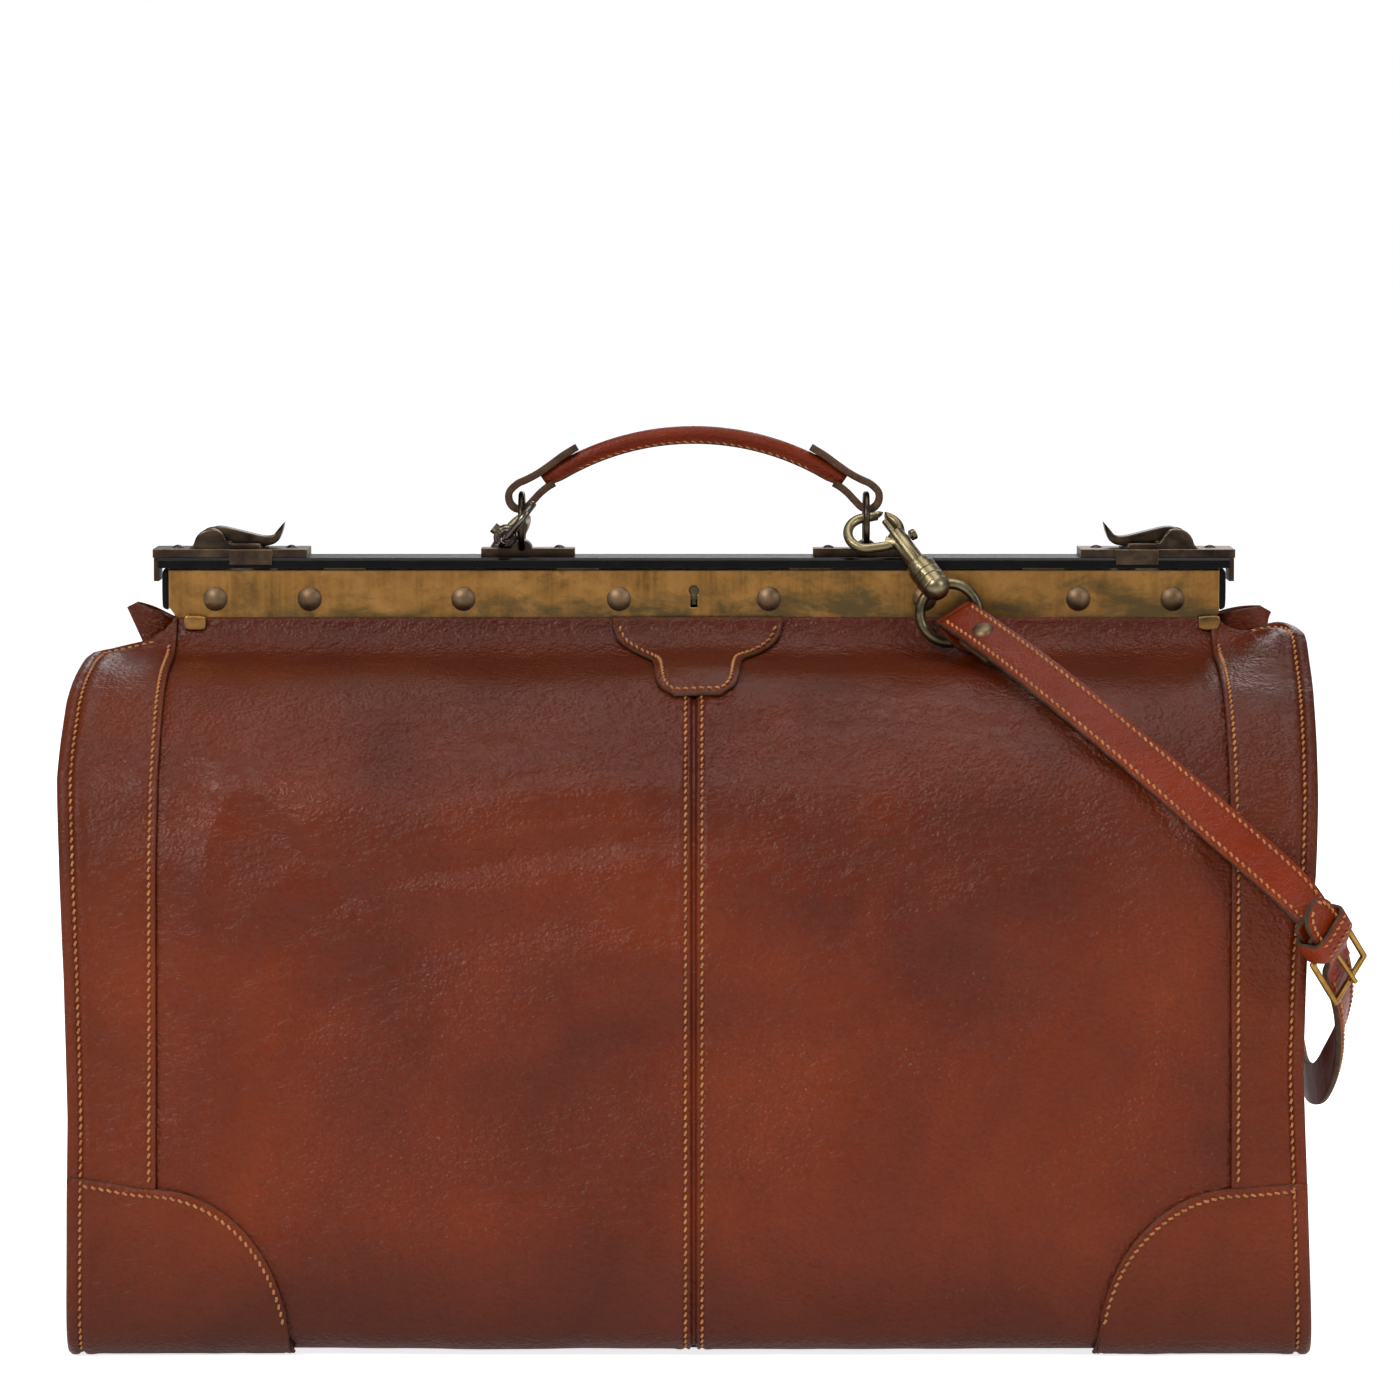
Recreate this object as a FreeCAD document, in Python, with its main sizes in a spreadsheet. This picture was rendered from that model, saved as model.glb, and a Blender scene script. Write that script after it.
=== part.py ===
"""Frame-top travel bag (doctor bag): leather body, two hinged jaws, catches, lock, handle, strap.

Frame: +X to the bag's left-hand end as seen by its owner, -Y is the front, +Z up.
The origin is under the middle of the body, on the surface the bag stands on. Millimetres.
Both jaws turn about one axis along X, at hinge_height over the middle of the base.
"""
import FreeCAD, Part
import math
import os

Vector = FreeCAD.Vector
doc = FreeCAD.newDocument("doctor_bag")

# ---------------------------------------------------------------- driving dimensions
sheet = doc.addObject("Spreadsheet::Sheet", "sizes")
SIZES = {
    "hinge_height": 180.0,        # axis of both jaws over the base
    "wall_radius": 123.0,         # outer radius of the body's shoulder about that axis
    "leather": 2.5,               # thickness of the body leather
    "clearance": 0.3,             # gap between leather parts that pass each other
    "belly_depth": 131.5,         # half depth of the body low down
    "panel_half": 225.0,          # from the centre seam to the side band
    "body_half": 246.8,           # from the centre seam to the gusset
    "welt_half": 261.0,           # half width over the welts
    "base_gap": 2.0,              # the base panel stands this high on its welts
    "lining_top": 148.0,
    "rail_half": 225.5,
    "rail_bottom": 298.6,
    "rail_top": 320.0,
    "rail_front": 14.0,           # front face of the brass rail from the middle plane
    "rail_plate": 1.4,
    "plate_half": 230.0,          # black top plate
    "plate_depth": 15.8,
    "plate_top": 325.4,
    "plate_skin": 1.6,
    "arm_width": 3.0,
    "front_arm": 214.0,           # inner face of the front jaw's arms
    "rear_arm": 218.0,
    "pin_diameter": 5.0,
    "rivet_head": 10.5,
    "rivet_rise": 2.2,
    "catch_pivot": 204.6,
    "catch_pivot_height": 332.2,
    "bracket_middle": 71.5,
    "bracket_length": 40.3,
    "bracket_depth": 12.0,
    "bracket_plate": 3.6,
    "link_middle": 74.2,
    "link_wire": 2.8,
    "link_bend": 11.6,            # centre-line radius of the link's round ends
    "link_straight": 0.8,
    "link_pivot": 339.6,          # centre of the link's lower bend
    "grip_radius": 114.2,
    "grip_top": 378.0,
    "grip_diameter": 6.6,
    "strap_width": 18.0,
    "strap_thick": 3.0,
    "ring_bend": 12.6,
    "ring_wire": 3.0,
}
for row, (alias, value) in enumerate(SIZES.items(), start=1):
    sheet.set("A%d" % row, str(value))
    sheet.setAlias("A%d" % row, alias)
doc.recompute()


def size(alias):
    return float(sheet.get(alias))


HINGE = size("hinge_height")
WALL = size("wall_radius")
LEATHER = size("leather")
GAP = size("clearance")
YOKE = WALL - LEATHER - GAP - 0.8          # outer radius of the leather that moves with a jaw
nodes = []


def node(thing, label):
    thing.Label = label
    nodes.append(thing)
    return thing


# ---------------------------------------------------------------- sketching helpers
def plane(body, role):
    return [f for f in body.Origin.OriginFeatures if f.Role == role][0]


def draw(sketch, start, steps):
    """Closed outline from start. A step is a point, or (middle, end) for an arc."""
    here = Vector(start[0], start[1], 0)
    for step in steps + [start]:
        if isinstance(step[0], tuple):
            middle = Vector(step[0][0], step[0][1], 0)
            there = Vector(step[1][0], step[1][1], 0)
            sketch.addGeometry(Part.Arc(here, middle, there), False)
        else:
            there = Vector(step[0], step[1], 0)
            if there.distanceToPoint(here) > 1e-6:
                sketch.addGeometry(Part.LineSegment(here, there), False)
        here = there


def new_sketch(body, role, outline, offset):
    sketch = body.newObject("Sketcher::SketchObject", "outline")
    sketch.AttachmentSupport = [(plane(body, role), "")]
    sketch.MapMode = "FlatFace"
    sketch.setExpression(".AttachmentOffset.Base.z", offset)
    draw(sketch, outline[0], outline[1:])
    return sketch


def slab(label, role, outline, offset, length, keep=True):
    """A padded outline. offset and length are expressions over the sheet."""
    body = doc.addObject("PartDesign::Body", label)
    sketch = new_sketch(body, role, outline, offset)
    pad = body.newObject("PartDesign::Pad", "thickness")
    pad.Profile = sketch
    pad.setExpression("Length", length)
    doc.recompute()
    return node(body, label) if keep else body


def add_pad(body, role, outline, offset, length):
    sketch = new_sketch(body, role, outline, offset)
    pad = body.newObject("PartDesign::Pad", "thickness")
    pad.Profile = sketch
    pad.setExpression("Length", length)
    doc.recompute()
    return pad


def add_pocket(body, role, outline, offset, length):
    """A pocket that must take something away."""
    before = body.Shape.Volume
    sketch = new_sketch(body, role, outline, offset)
    pocket = body.newObject("PartDesign::Pocket", "cut")
    pocket.Profile = sketch
    pocket.Midplane = True
    pocket.setExpression("Length", length)
    doc.recompute()
    if body.Shape.Volume > before - 0.01:
        raise RuntimeError("a pocket in %s cuts nothing" % body.Label)
    return pocket


def rectangle(low, high):
    return [(low[0], low[1]), (high[0], low[1]), (high[0], high[1]), (low[0], high[1])]


def circle(middle, radius):
    """A full circle as two arcs."""
    x, y = middle
    return [(x - radius, y), ((x, y + radius), (x + radius, y)), ((x, y - radius), (x - radius, y))]


def mirrored(outline):
    """The outline with its first coordinate turned over."""
    turned = []
    for step in outline:
        if isinstance(step[0], tuple):
            turned.append(((-step[0][0], step[0][1]), (-step[1][0], step[1][1])))
        else:
            turned.append((-step[0], step[1]))
    return turned


def on_arc(radius, angle):
    """(y, z) of a point at this radius about the hinge, the angle from straight up to the front."""
    turn = math.radians(angle)
    return (-radius * math.sin(turn), HINGE + radius * math.cos(turn))


def x_range(side, near, far):
    """Offset and length expressions for a slab between two distances from the middle."""
    length = "(%s) - (%s)" % (far, near)
    return (near, length) if side > 0 else ("-(%s)" % far, length)


SIDES = (("left", -1), ("right", 1))
FACES = (("front", 1), ("rear", -1))


def for_face(face, outline):
    return outline if face > 0 else mirrored(outline)


# ---------------------------------------------------------------- Part helpers
def shape_node(label, shape, turn=None, at=None):
    thing = doc.addObject("Part::Feature", label)
    thing.Shape = shape
    if turn is not None:
        thing.Placement = FreeCAD.Placement(at, turn)
    return node(thing, label)


def rod(start, end, radius):
    start = Vector(*start)
    axis = Vector(*end) - start
    return Part.makeCylinder(radius, axis.Length, start, axis)


def block(low, high):
    low = Vector(*low)
    extent = Vector(*high) - low
    return Part.makeBox(extent.x, extent.y, extent.z, low)


def both_ways(low, high, axis):
    """low and high with one coordinate turned over, put back in order."""
    a = list(low)
    b = list(high)
    a[axis], b[axis] = -high[axis], -low[axis]
    return a, b


def dome(centre, outward, diameter, rise, shank_radius, shank_length):
    """A domed head with a plain shank behind it."""
    centre = Vector(*centre)
    outward = Vector(*outward)
    half = diameter / 2
    ball = (half * half + rise * rise) / (2 * rise)
    sphere = Part.makeSphere(ball, centre - outward * (ball - rise))
    slice_ = Part.makeCylinder(half + 0.01, rise + 1, centre, outward)
    shank = Part.makeCylinder(shank_radius, shank_length, centre - outward * shank_length, outward)
    return sphere.common(slice_).fuse(shank).removeSplitter()


def stadium(bend, straight, wire):
    """A closed link in the local XY plane, its long way along X."""
    half = straight / 2
    points = [Vector(half, -bend, 0), Vector(half + bend, 0, 0), Vector(half, bend, 0),
              Vector(-half, bend, 0), Vector(-half - bend, 0, 0), Vector(-half, -bend, 0)]
    path = Part.Wire([Part.Arc(points[0], points[1], points[2]).toShape(),
                      Part.LineSegment(points[2], points[3]).toShape(),
                      Part.Arc(points[3], points[4], points[5]).toShape(),
                      Part.LineSegment(points[5], points[0]).toShape()])
    section = Part.Wire(Part.makeCircle(wire / 2, points[3], Vector(-1, 0, 0)))
    return path.makePipeShell([section], True, True)


# ---------------------------------------------------------------- leather body, on the root
def panel_outline():
    """Section of a body wall in the YZ plane, front face, from the bottom edge to the shoulder."""
    belly = size("belly_depth")
    inner = WALL - LEATHER
    shoulder = 62.0
    middle = (shoulder + 90.0) / 2
    foot = size("base_gap")
    return [(-(belly - 13.5), foot), ((-(belly - 4), foot + 4), (-belly, foot + 14)),
            (-belly, 70), (-WALL, 146), (-WALL, HINGE),
            (on_arc(WALL, middle), on_arc(WALL, shoulder)), on_arc(inner, shoulder),
            (on_arc(inner, middle), (-inner, HINGE)), (-inner, 146),
            (-(belly - LEATHER), 70), (-(belly - LEATHER), foot + 14),
            ((-(belly - LEATHER - 3.2), foot + 5.8), (-(belly - 13.5), foot + LEATHER))]


def build_body():
    belly = size("belly_depth")
    base_y = belly - 13.5
    slab("base_panel", "XY_Plane", rectangle((-246.6, -base_y), (246.6, base_y)), "sizes.base_gap",
         "sizes.leather")
    slab("base_board", "XY_Plane", rectangle((-238.0, -110.0), (238.0, 110.0)),
         "sizes.base_gap + sizes.leather", "3")
    for face_name, face in FACES:
        outline = for_face(face, panel_outline())
        for side_name, side in SIDES:
            offset, length = x_range(side, "0.2", "sizes.panel_half - 0.2")
            slab("%s_panel_%s" % (face_name, side_name), "YZ_Plane", outline, offset, length)
        bands = []
        for side_name, side in SIDES:
            offset, length = x_range(side, "sizes.panel_half", "sizes.body_half")
            bands.append(slab("band_%s_%s" % (face_name, side_name), "YZ_Plane", outline, offset,
                              length, keep=False))
        pair = doc.addObject("Part::Compound", "side_bands_" + face_name)
        pair.Links = bands
        node(pair, "side_bands_" + face_name)
        build_corner_patches(face_name, face)
    for side_name, side in SIDES:
        build_gusset(side_name, side)


def build_corner_patches(face_name, face):
    """A quarter-round skin over each lower corner of one face."""
    belly = size("belly_depth")
    skin = 1.2
    top = 70.0
    inner_end = 166.0
    strip = for_face(face, [(-belly, 16), (-belly, top), (-(belly + skin), top), (-(belly + skin), 16)])
    patches = []
    for side_name, side in SIDES:
        offset, length = x_range(side, "%s" % inner_end, "sizes.body_half")
        patch = slab("patch_%s_%s" % (face_name, side_name), "YZ_Plane", strip, offset, length, keep=False)
        far = size("body_half")
        outer = [(inner_end - 1, 15), ((inner_end + 0.30 * (far - inner_end), 52), (far - 22, top + 1)),
                 (inner_end - 1, top + 1)]
        outline = outer if side > 0 else mirrored(outer)
        add_pocket(patch, "XZ_Plane", outline, "0", "400")
        patches.append(patch)
    pair = doc.addObject("Part::Compound", "corner_patches_" + face_name)
    pair.Links = patches
    node(pair, "corner_patches_" + face_name)


def welt_outline():
    """The sewn edge that stands out round one face of an end gusset."""
    belly = size("belly_depth")
    width = 5.0
    shoulder = 62.0
    middle = (shoulder + 90.0) / 2
    return [(-(belly - 8), 0), (-belly, 8), (-belly, 70), (-WALL, 146), (-WALL, HINGE),
            (on_arc(WALL, middle), on_arc(WALL, shoulder)), on_arc(WALL - width, shoulder),
            (on_arc(WALL - width, middle), (-(WALL - width), HINGE)), (-(WALL - width), 146),
            (-(belly - width), 70), (-(belly - width), 10), (-(belly - 10), 5),
            (0, 5), (0, 0)]


def build_gusset(side_name, side):
    """An end wall, open above the hinge for the folds, with the welts of both faces."""
    inner = WALL
    shoulder = 62.0
    middle = (shoulder + 90.0) / 2
    belly = size("belly_depth")
    boss = 14.0
    left = on_arc(inner, shoulder)
    web = [(-(belly - 8), 0), (-belly, 8), (-belly, 70), (-WALL, 146), (-WALL, HINGE),
           (on_arc(inner, middle), left), (-boss, HINGE + boss), (boss, HINGE + boss),
           (-left[0], left[1]),
           ((-on_arc(inner, middle)[0], on_arc(inner, middle)[1]), (WALL, HINGE)),
           (WALL, 146), (belly, 70), (belly, 8), (belly - 8, 0)]
    offset, length = x_range(side, "247.1", "249.6")
    body = slab("gusset_" + side_name, "YZ_Plane", web, offset, length)
    for face in (1, -1):
        offset, length = x_range(side, "249.6", "sizes.welt_half")
        add_pad(body, "YZ_Plane", for_face(face, welt_outline()), offset, length)


def build_inside():
    """Fabric tub, its flat pocket, and the pins both jaws hang on."""
    wall = 1.6
    low = size("base_gap") + size("leather") + 3.0
    tub = slab("lining", "XY_Plane", rectangle((-242, -115), (242, 115)), "%s" % low,
               "sizes.lining_top - %s" % low)
    inner = rectangle((-242 + wall, -115 + wall), (242 - wall, 115 - wall))
    add_pocket(tub, "XY_Plane", inner, "sizes.lining_top", "2 * (sizes.lining_top - %s)" % (low + wall))
    slab("inner_pocket", "XY_Plane", rectangle((-90, 115 - wall - 1.4), (90, 115 - wall)), "50", "80")
    pins = []
    radius = size("pin_diameter") / 2
    for side in (-1, 1):
        pin = rod((side * 211.5, 0, HINGE), (side * 247.1, 0, HINGE), radius)
        head = rod((side * 211.5, 0, HINGE), (side * 213.5, 0, HINGE), radius + 2)
        washer = rod((side * 222, 0, HINGE), (side * 224, 0, HINGE), radius + 2.5)
        pins.append(pin.fuse([head, washer]).removeSplitter())
    shape_node("hinge_pins", Part.makeCompound(pins))


# ---------------------------------------------------------------- the two jaws
RIVETS_AT = [side * x for x in (32.2, 99.0, 165.0, 205.5) for side in (-1, 1)]
RIVET_HEIGHT = 307.7
KEYHOLE_HEIGHT = 308.6


def build_frame(face_name, face, arm):
    """Steel bar behind the rail with an arm down to the hinge at each end."""
    top = size("rail_top") - 1.6
    bar = for_face(face, rectangle((-3.5, size("rail_bottom") + 0.4), (-0.4, top)))
    body = slab(face_name + "_frame", "YZ_Plane", bar, "-224", "448")
    eye = 9.0
    boss_top = HINGE + math.sqrt(eye * eye - 36.0)
    arm_outline = for_face(face, [
        (-12.2, size("rail_bottom") - 2), (-6.0, boss_top), ((-eye, HINGE), (0, HINGE - eye)),
        ((eye, HINGE), (6.0, boss_top)), (-0.6, 230), (-0.6, 300), (-3.4, 300),
        (-3.4, size("rail_bottom") - 2)])
    inner = "sizes.%s_arm" % arm
    for side in (-1, 1):
        offset, length = x_range(side, inner, inner + " + sizes.arm_width")
        add_pad(body, "YZ_Plane", arm_outline, offset, length)
    hole = circle((0, HINGE), size("pin_diameter") / 2 + 0.05)
    add_pocket(body, "YZ_Plane", hole, "0", "480")
    margin = 1.2 if face > 0 else 0.0
    window = rectangle((-1 - margin, 305 - margin), (1 + margin, 313 + margin))
    add_pocket(body, "XZ_Plane", window, "0", "20")
    return body


def build_rail(face_name, face):
    """Brass angle with a rounded lower corner at one end and a cut one at the other."""
    low = size("rail_bottom")
    high = size("rail_top")
    front = size("rail_front")
    plate = size("rail_plate")
    section = for_face(face, [(-front, low), (-front, high), (-0.4, high), (-0.4, high - plate),
                              (-(front - plate), high - plate), (-(front - plate), low)])
    body = slab(face_name + "_rail", "YZ_Plane", section, "-sizes.rail_half", "2 * sizes.rail_half")
    half = size("rail_half")
    for outline in ([(-half - 1, low - 1), (-half + 5, low - 1), (-half - 1, low + 7)],
                    [(half + 1, low - 1), (half + 1, low + 5), ((half - 1.4, low + 1.4), (half - 5, low - 1))]):
        add_pocket(body, "XZ_Plane", outline, "0", "60")
    for x in RIVETS_AT:
        add_pocket(body, "XZ_Plane", circle((x, RIVET_HEIGHT), 1.5), "0", "60")
    if face > 0:
        add_pocket(body, "XZ_Plane", circle((0, KEYHOLE_HEIGHT + 2.6), 2.3), "0", "60")
        add_pocket(body, "XZ_Plane", rectangle((-1.5, KEYHOLE_HEIGHT - 4.6), (1.5, KEYHOLE_HEIGHT + 2.6)),
                   "0", "60")
    return body


def build_rivets(face_name, face):
    heads = []
    for x in RIVETS_AT:
        heads.append(dome((x, -face * size("rail_front"), RIVET_HEIGHT), (0, -face, 0),
                          size("rivet_head"), size("rivet_rise"), 1.5, 4.0))
    shape_node(face_name + "_rivets", Part.makeCompound(heads))


def yoke_outline():
    """Leather from the rail down to where it runs inside the body wall: a drop, then a full round."""
    outer = YOKE
    inner = YOKE - LEATHER
    lower = 64.0
    upper = 36.0
    middle = (lower + upper) / 2
    return [(-12.4, 298.6), (-14, 298.4), (-17.5, 289), (-26, 283), on_arc(outer, upper),
            (on_arc(outer, middle), on_arc(outer, lower)), on_arc(inner, lower),
            (on_arc(inner, middle), on_arc(inner, upper + 1)), (-25, 280.4), (-15.4, 288), (-12.4, 296)]


def build_yoke(face_name, face):
    for side_name, side in SIDES:
        offset, length = x_range(side, "0.2", "sizes.body_half - 0.8")
        body = slab("%s_yoke_%s" % (face_name, side_name), "YZ_Plane", for_face(face, yoke_outline()),
                    offset, length)
        corner = [(226, 300), (247, 272), (247, 300)]
        add_pocket(body, "XZ_Plane", corner if side > 0 else mirrored(corner), "0", "400")


def build_folds(face_name, face):
    """The end gusset's soft fold above the hinge, one half on each jaw."""
    near = 22.0
    far = YOKE - LEATHER - 0.3
    outline = for_face(face, [on_arc(near, 4), on_arc(92, 2), on_arc(far, 42),
                              (on_arc(far, 53), on_arc(far, 64)), on_arc(near, 64)])
    for side_name, side in SIDES:
        offset, length = x_range(side, "sizes.body_half - 2.8", "sizes.body_half - 0.8")
        slab("%s_fold_%s" % (face_name, side_name), "YZ_Plane", outline, offset, length)


def build_lock():
    """Case behind the front rail, a bolt that slides along X, and a tongue from the rear jaw."""
    rear = -3.7
    front = -(size("rail_front") - size("rail_plate"))
    case = block((-18, front, 300.5), (18, rear, 318.4))
    case = case.cut(block((-16.6, front + 1.2, 302), (16.6, rear + 1, 317)))
    drill_pin = rod((0, front - 0.6, KEYHOLE_HEIGHT), (0, front + 1.4, KEYHOLE_HEIGHT), 0.9)
    for x in (3.0, 13.2):
        guide = block((x, front + 1.2, 302), (x + 1.4, rear, 317))
        case = case.fuse(guide.cut(rod((x - 1, -7.6, 309), (x + 3, -7.6, 309), 1.65)))
    key_slot = block((-1.5, front - 1, KEYHOLE_HEIGHT - 4.6), (1.5, front + 1.3, KEYHOLE_HEIGHT - 1.2))
    shape_node("lock_case", case.cut(key_slot).fuse(drill_pin).removeSplitter())
    bolt = rod((2.6, -7.6, 309), (15.2, -7.6, 309), 1.6)
    talon = block((8.8, -9.9, 303.2), (12.8, -8.6, 309))
    shape_node("lock_bolt", bolt.fuse(talon).removeSplitter())
    tongue = block((-1, -10.6, 305), (1, 4.0, 313)).cut(rod((-2, -7.6, 309), (2, -7.6, 309), 2.0))
    shape_node("lock_tongue", tongue)


def build_lock_tab():
    """Leather tab below the keyhole: wide at the rail, narrow at its foot."""
    outer = YOKE + 0.8
    inner = YOKE + 0.05
    strip = [(-14.1, 298.5), (-17.6, 289.1), (-26.1, 283.1), on_arc(inner, 36),
             (on_arc(inner, 37.5), on_arc(inner, 39)), on_arc(outer, 39),
             (on_arc(outer, 37.5), on_arc(outer, 36)), (-26.2, 284.1), (-18.4, 289.8), (-14.9, 298.5)]
    body = slab("lock_tab", "YZ_Plane", strip, "-36", "72")
    for side in (-1, 1):
        edge = [(36.5, 300), ((27.5, 290), (20, 281)), (17.5, 270), (37, 270)]
        add_pocket(body, "XZ_Plane", edge if side > 0 else mirrored(edge), "0", "400")


def build_top_plate():
    """Black channel over both rails, fixed to the front jaw, notched behind each catch."""
    depth = size("plate_depth")
    high = size("plate_top")
    skin = size("plate_skin")
    section = [(-depth, 321), (-depth, high - 1), (-depth + 1, high), (depth - 1, high), (depth, high - 1),
               (depth, 321), (depth - 1.4, 321), (depth - 1.4, high - skin), (-depth + 1.4, high - skin),
               (-depth + 1.4, 321)]
    body = slab("top_plate", "YZ_Plane", section, "-sizes.plate_half", "2 * sizes.plate_half")
    for side in (-1, 1):
        notch = rectangle((181, 14.2), (201, depth + 1))
        outline = notch if side > 0 else mirrored(notch)
        add_pocket(body, "XY_Plane", outline, "sizes.plate_top", "20")
    spacers = []
    for x in (-150.0, -50.0, 50.0, 150.0):
        spacers.append(block((x - 9, -13, size("rail_top")), (x + 9, -1, high - skin)))
    shape_node("plate_spacers", Part.makeCompound(spacers))


# ---------------------------------------------------------------- catches
def build_catch(side_name, side):
    """Base with two ears and an end claw, and a lever that lifts about a pin along Y."""
    pivot = size("catch_pivot")
    height = size("catch_pivot_height")
    floor = size("plate_top")

    def put(low, high):
        return block(low, high) if side > 0 else block(*both_ways(low, high, 0))

    base = put((166.0, -13.9, floor), (232.3, 13.9, 329.0))
    base = base.fuse(put((230.2, -9, 315), (232.3, 9, 329)))
    flange = put((181, -17.2, 322.6), (199, -13.9, 329.0))
    base = base.fuse(flange.cut(put((180, -16.5, 322), (200, -13, 325.4))))
    for y in (-7.4, 5.2):
        ear = put((198.7, y, 329.0), (210.6, y + 2.2, height))
        ear = ear.fuse(rod((side * pivot, y, height), (side * pivot, y + 2.2, height), 3.4))
        base = base.fuse(ear)
    base = base.cut(rod((side * pivot, -9, height), (side * pivot, 9, height), 1.3))
    for x in SCREWS_CATCH:
        base = base.cut(rod((side * x, 0, floor - 1), (side * x, 0, 330), 1.4))
    shape_node("catch_base_" + side_name, base.removeSplitter())

    points = [(pivot, height + 4.8), (181.0, 333.6), (176.2, 338.2), (174.8, 337.4), (179.0, 330.2),
              (pivot - 1, 329.5)]
    corners = [Vector(side * x, -4.9, z) for x, z in points]
    wedge = Part.Face(Part.makePolygon(corners + [corners[0]])).extrude(Vector(0, 9.8, 0))
    barrel = rod((side * pivot, -4.9, height), (side * pivot, 4.9, height), 2.8)
    lever = wedge.fuse(barrel)
    lever = lever.fuse(put((182, 4.9, 330.2), (193, 17.0, 331.8)))
    lever = lever.fuse(put((182, 14.6, 323.6), (193, 17.0, 331.8)))
    lever = lever.cut(rod((side * pivot, -6, height), (side * pivot, 6, height), 1.3))
    shape_node("catch_lever_" + side_name, lever.removeSplitter())


SCREWS_CATCH = (173.5, 222.5)


def build_catch_details():
    pins = []
    springs = []
    keepers = []
    pivot = size("catch_pivot")
    height = size("catch_pivot_height")
    for side in (-1, 1):
        pins.append(rod((side * pivot, -7.9, height), (side * pivot, 7.9, height), 1.25))
        low, high = (183.5, -3.5, 329.0), (197.0, 3.5, 329.4)
        keep_low, keep_high = (183.5, 12.0, size("rail_top")), (191.5, 16.9, 323.2)
        if side < 0:
            low, high = both_ways(low, high, 0)
            keep_low, keep_high = both_ways(keep_low, keep_high, 0)
        springs.append(block(low, high))
        keepers.append(block(keep_low, keep_high))
    shape_node("catch_pins", Part.makeCompound(pins))
    shape_node("catch_springs", Part.makeCompound(springs))
    shape_node("catch_keepers", Part.makeCompound(keepers))


# ---------------------------------------------------------------- handle
def build_brackets():
    """Two cast brackets on the top plate, each with a hump whose eye takes the wire link."""
    floor = size("plate_top")
    top = floor + size("bracket_plate")
    bend = size("link_bend")
    screws = []
    for side_name, side in SIDES:
        middle = side * size("bracket_middle")
        half = size("bracket_length") / 2
        deep = size("bracket_depth") / 2
        link = side * size("link_middle")
        plate = block((middle - half, -deep, floor), (middle + half, deep, top))
        hump = rod((link, -deep, top - 1), (link, deep, top - 1), 4.6)
        hump = hump.common(block((link - 6, -deep, floor), (link + 6, deep, top + 5)))
        eye = Part.makeTorus(bend, size("link_wire") / 2 + 0.15, Vector(link, 0, size("link_pivot")),
                             Vector(1, 0, 0))
        bracket = plate.fuse(hump).cut(eye)
        for x in (middle - 13.5, middle + 13.5):
            bracket = bracket.cut(rod((x, 0, floor - 1), (x, 0, top + 1), 1.4))
            screws.append(dome((x, 0, top), (0, 0, 1), 5.2, 1.3, 1.4, 3.0))
        shape_node("handle_bracket_" + side_name, bracket.removeSplitter())
    for side in (-1, 1):
        for x in SCREWS_CATCH:
            screws.append(dome((side * x, 0, 329.0), (0, 0, 1), 5.2, 1.3, 1.4, 3.0))
    shape_node("frame_screws", Part.makeCompound(screws))


def build_handle():
    """Rolled grip on an arc, leather end loops, and the two wire links."""
    radius = size("grip_radius")
    top = size("grip_top")
    centre = Vector(0, 0, top - radius)
    half = size("grip_diameter") / 2
    spread = 34.0
    core = Part.Face(Part.Wire(Part.makeCircle(half, Vector(0, 0, top), Vector(1, 0, 0))))
    fin = Part.Face(Part.makePolygon([Vector(0, y, z) for y, z in (
        (-1.6, top), (1.6, top), (1.6, top - half - 2.4), (-1.6, top - half - 2.4), (-1.6, top))]))
    profile = core.fuse(fin).removeSplitter().Faces[0]
    grip = profile.revolve(centre, Vector(0, 1, 0), spread)
    grip = grip.fuse(profile.revolve(centre, Vector(0, 1, 0), -spread)).removeSplitter()
    loops = []
    links = []
    for side in (-1, 1):
        x = side * size("link_middle")
        z = size("link_pivot") + size("link_straight") + size("link_bend")
        ring = rod((x, -4.8, z), (x, 4.8, z), 7.3).cut(rod((x, -7, z), (x, 7, z), 3.9))
        tilt = side * 32.0
        tab = Part.makeBox(24, 9.6, 3.2, Vector(-12, -4.8, 0))
        turn = FreeCAD.Rotation(Vector(0, 1, 0), tilt)
        tab.Placement = FreeCAD.Placement(Vector(side * 60.6, 0, z + 10.9), turn)
        inner_end = rod((x, -7, z), (x, 7, z), 3.9)
        loops.append(ring.fuse(tab.cut(inner_end)).cut(grip).removeSplitter())
        link = stadium(size("link_bend"), size("link_straight"), size("link_wire"))
        middle = Vector(x, 0, size("link_pivot") + size("link_straight") / 2)
        link.Placement = FreeCAD.Placement(middle, FreeCAD.Rotation(Vector(0, 1, 0), 90))
        links.append(link)
    shape_node("handle_grip", grip)
    shape_node("handle_loops", Part.makeCompound(loops))
    shape_node("handle_links", Part.makeCompound(links))


# ---------------------------------------------------------------- snap hooks
def axes(along, across):
    """Rotation whose local X is along and local Y lies nearest to across."""
    return FreeCAD.Rotation(Vector(*along).normalize(), Vector(*across), Vector(0, 0, 0), "XYZ")


HOOKS = {
    "left": {"along": (-0.03, 0.998, -0.05), "across": (0.62, 0.0, 0.78), "eye": (-75.9, -14.2, 339.6),
             "knob": (0, 0, -1), "knob_turn": 180},
    "right": {"along": (0.525, -0.528, -0.668), "across": (-0.851, -0.3255, -0.412),
              "eye": (77.2, -12.9, 336.3), "knob": (0, -1, 0), "knob_turn": 90},
}
RINGS = {
    "left": {"centre": (-81.4, 35.0, 329.8), "along": (0.0, 0.93, -0.37), "across": (0.62, 0.3, 0.73)},
    "right": {"centre": (109.2, -26.5, 302.4), "along": (0.64, -0.1, -0.76), "across": (0.76, 0.0, 0.64)},
}


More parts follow.
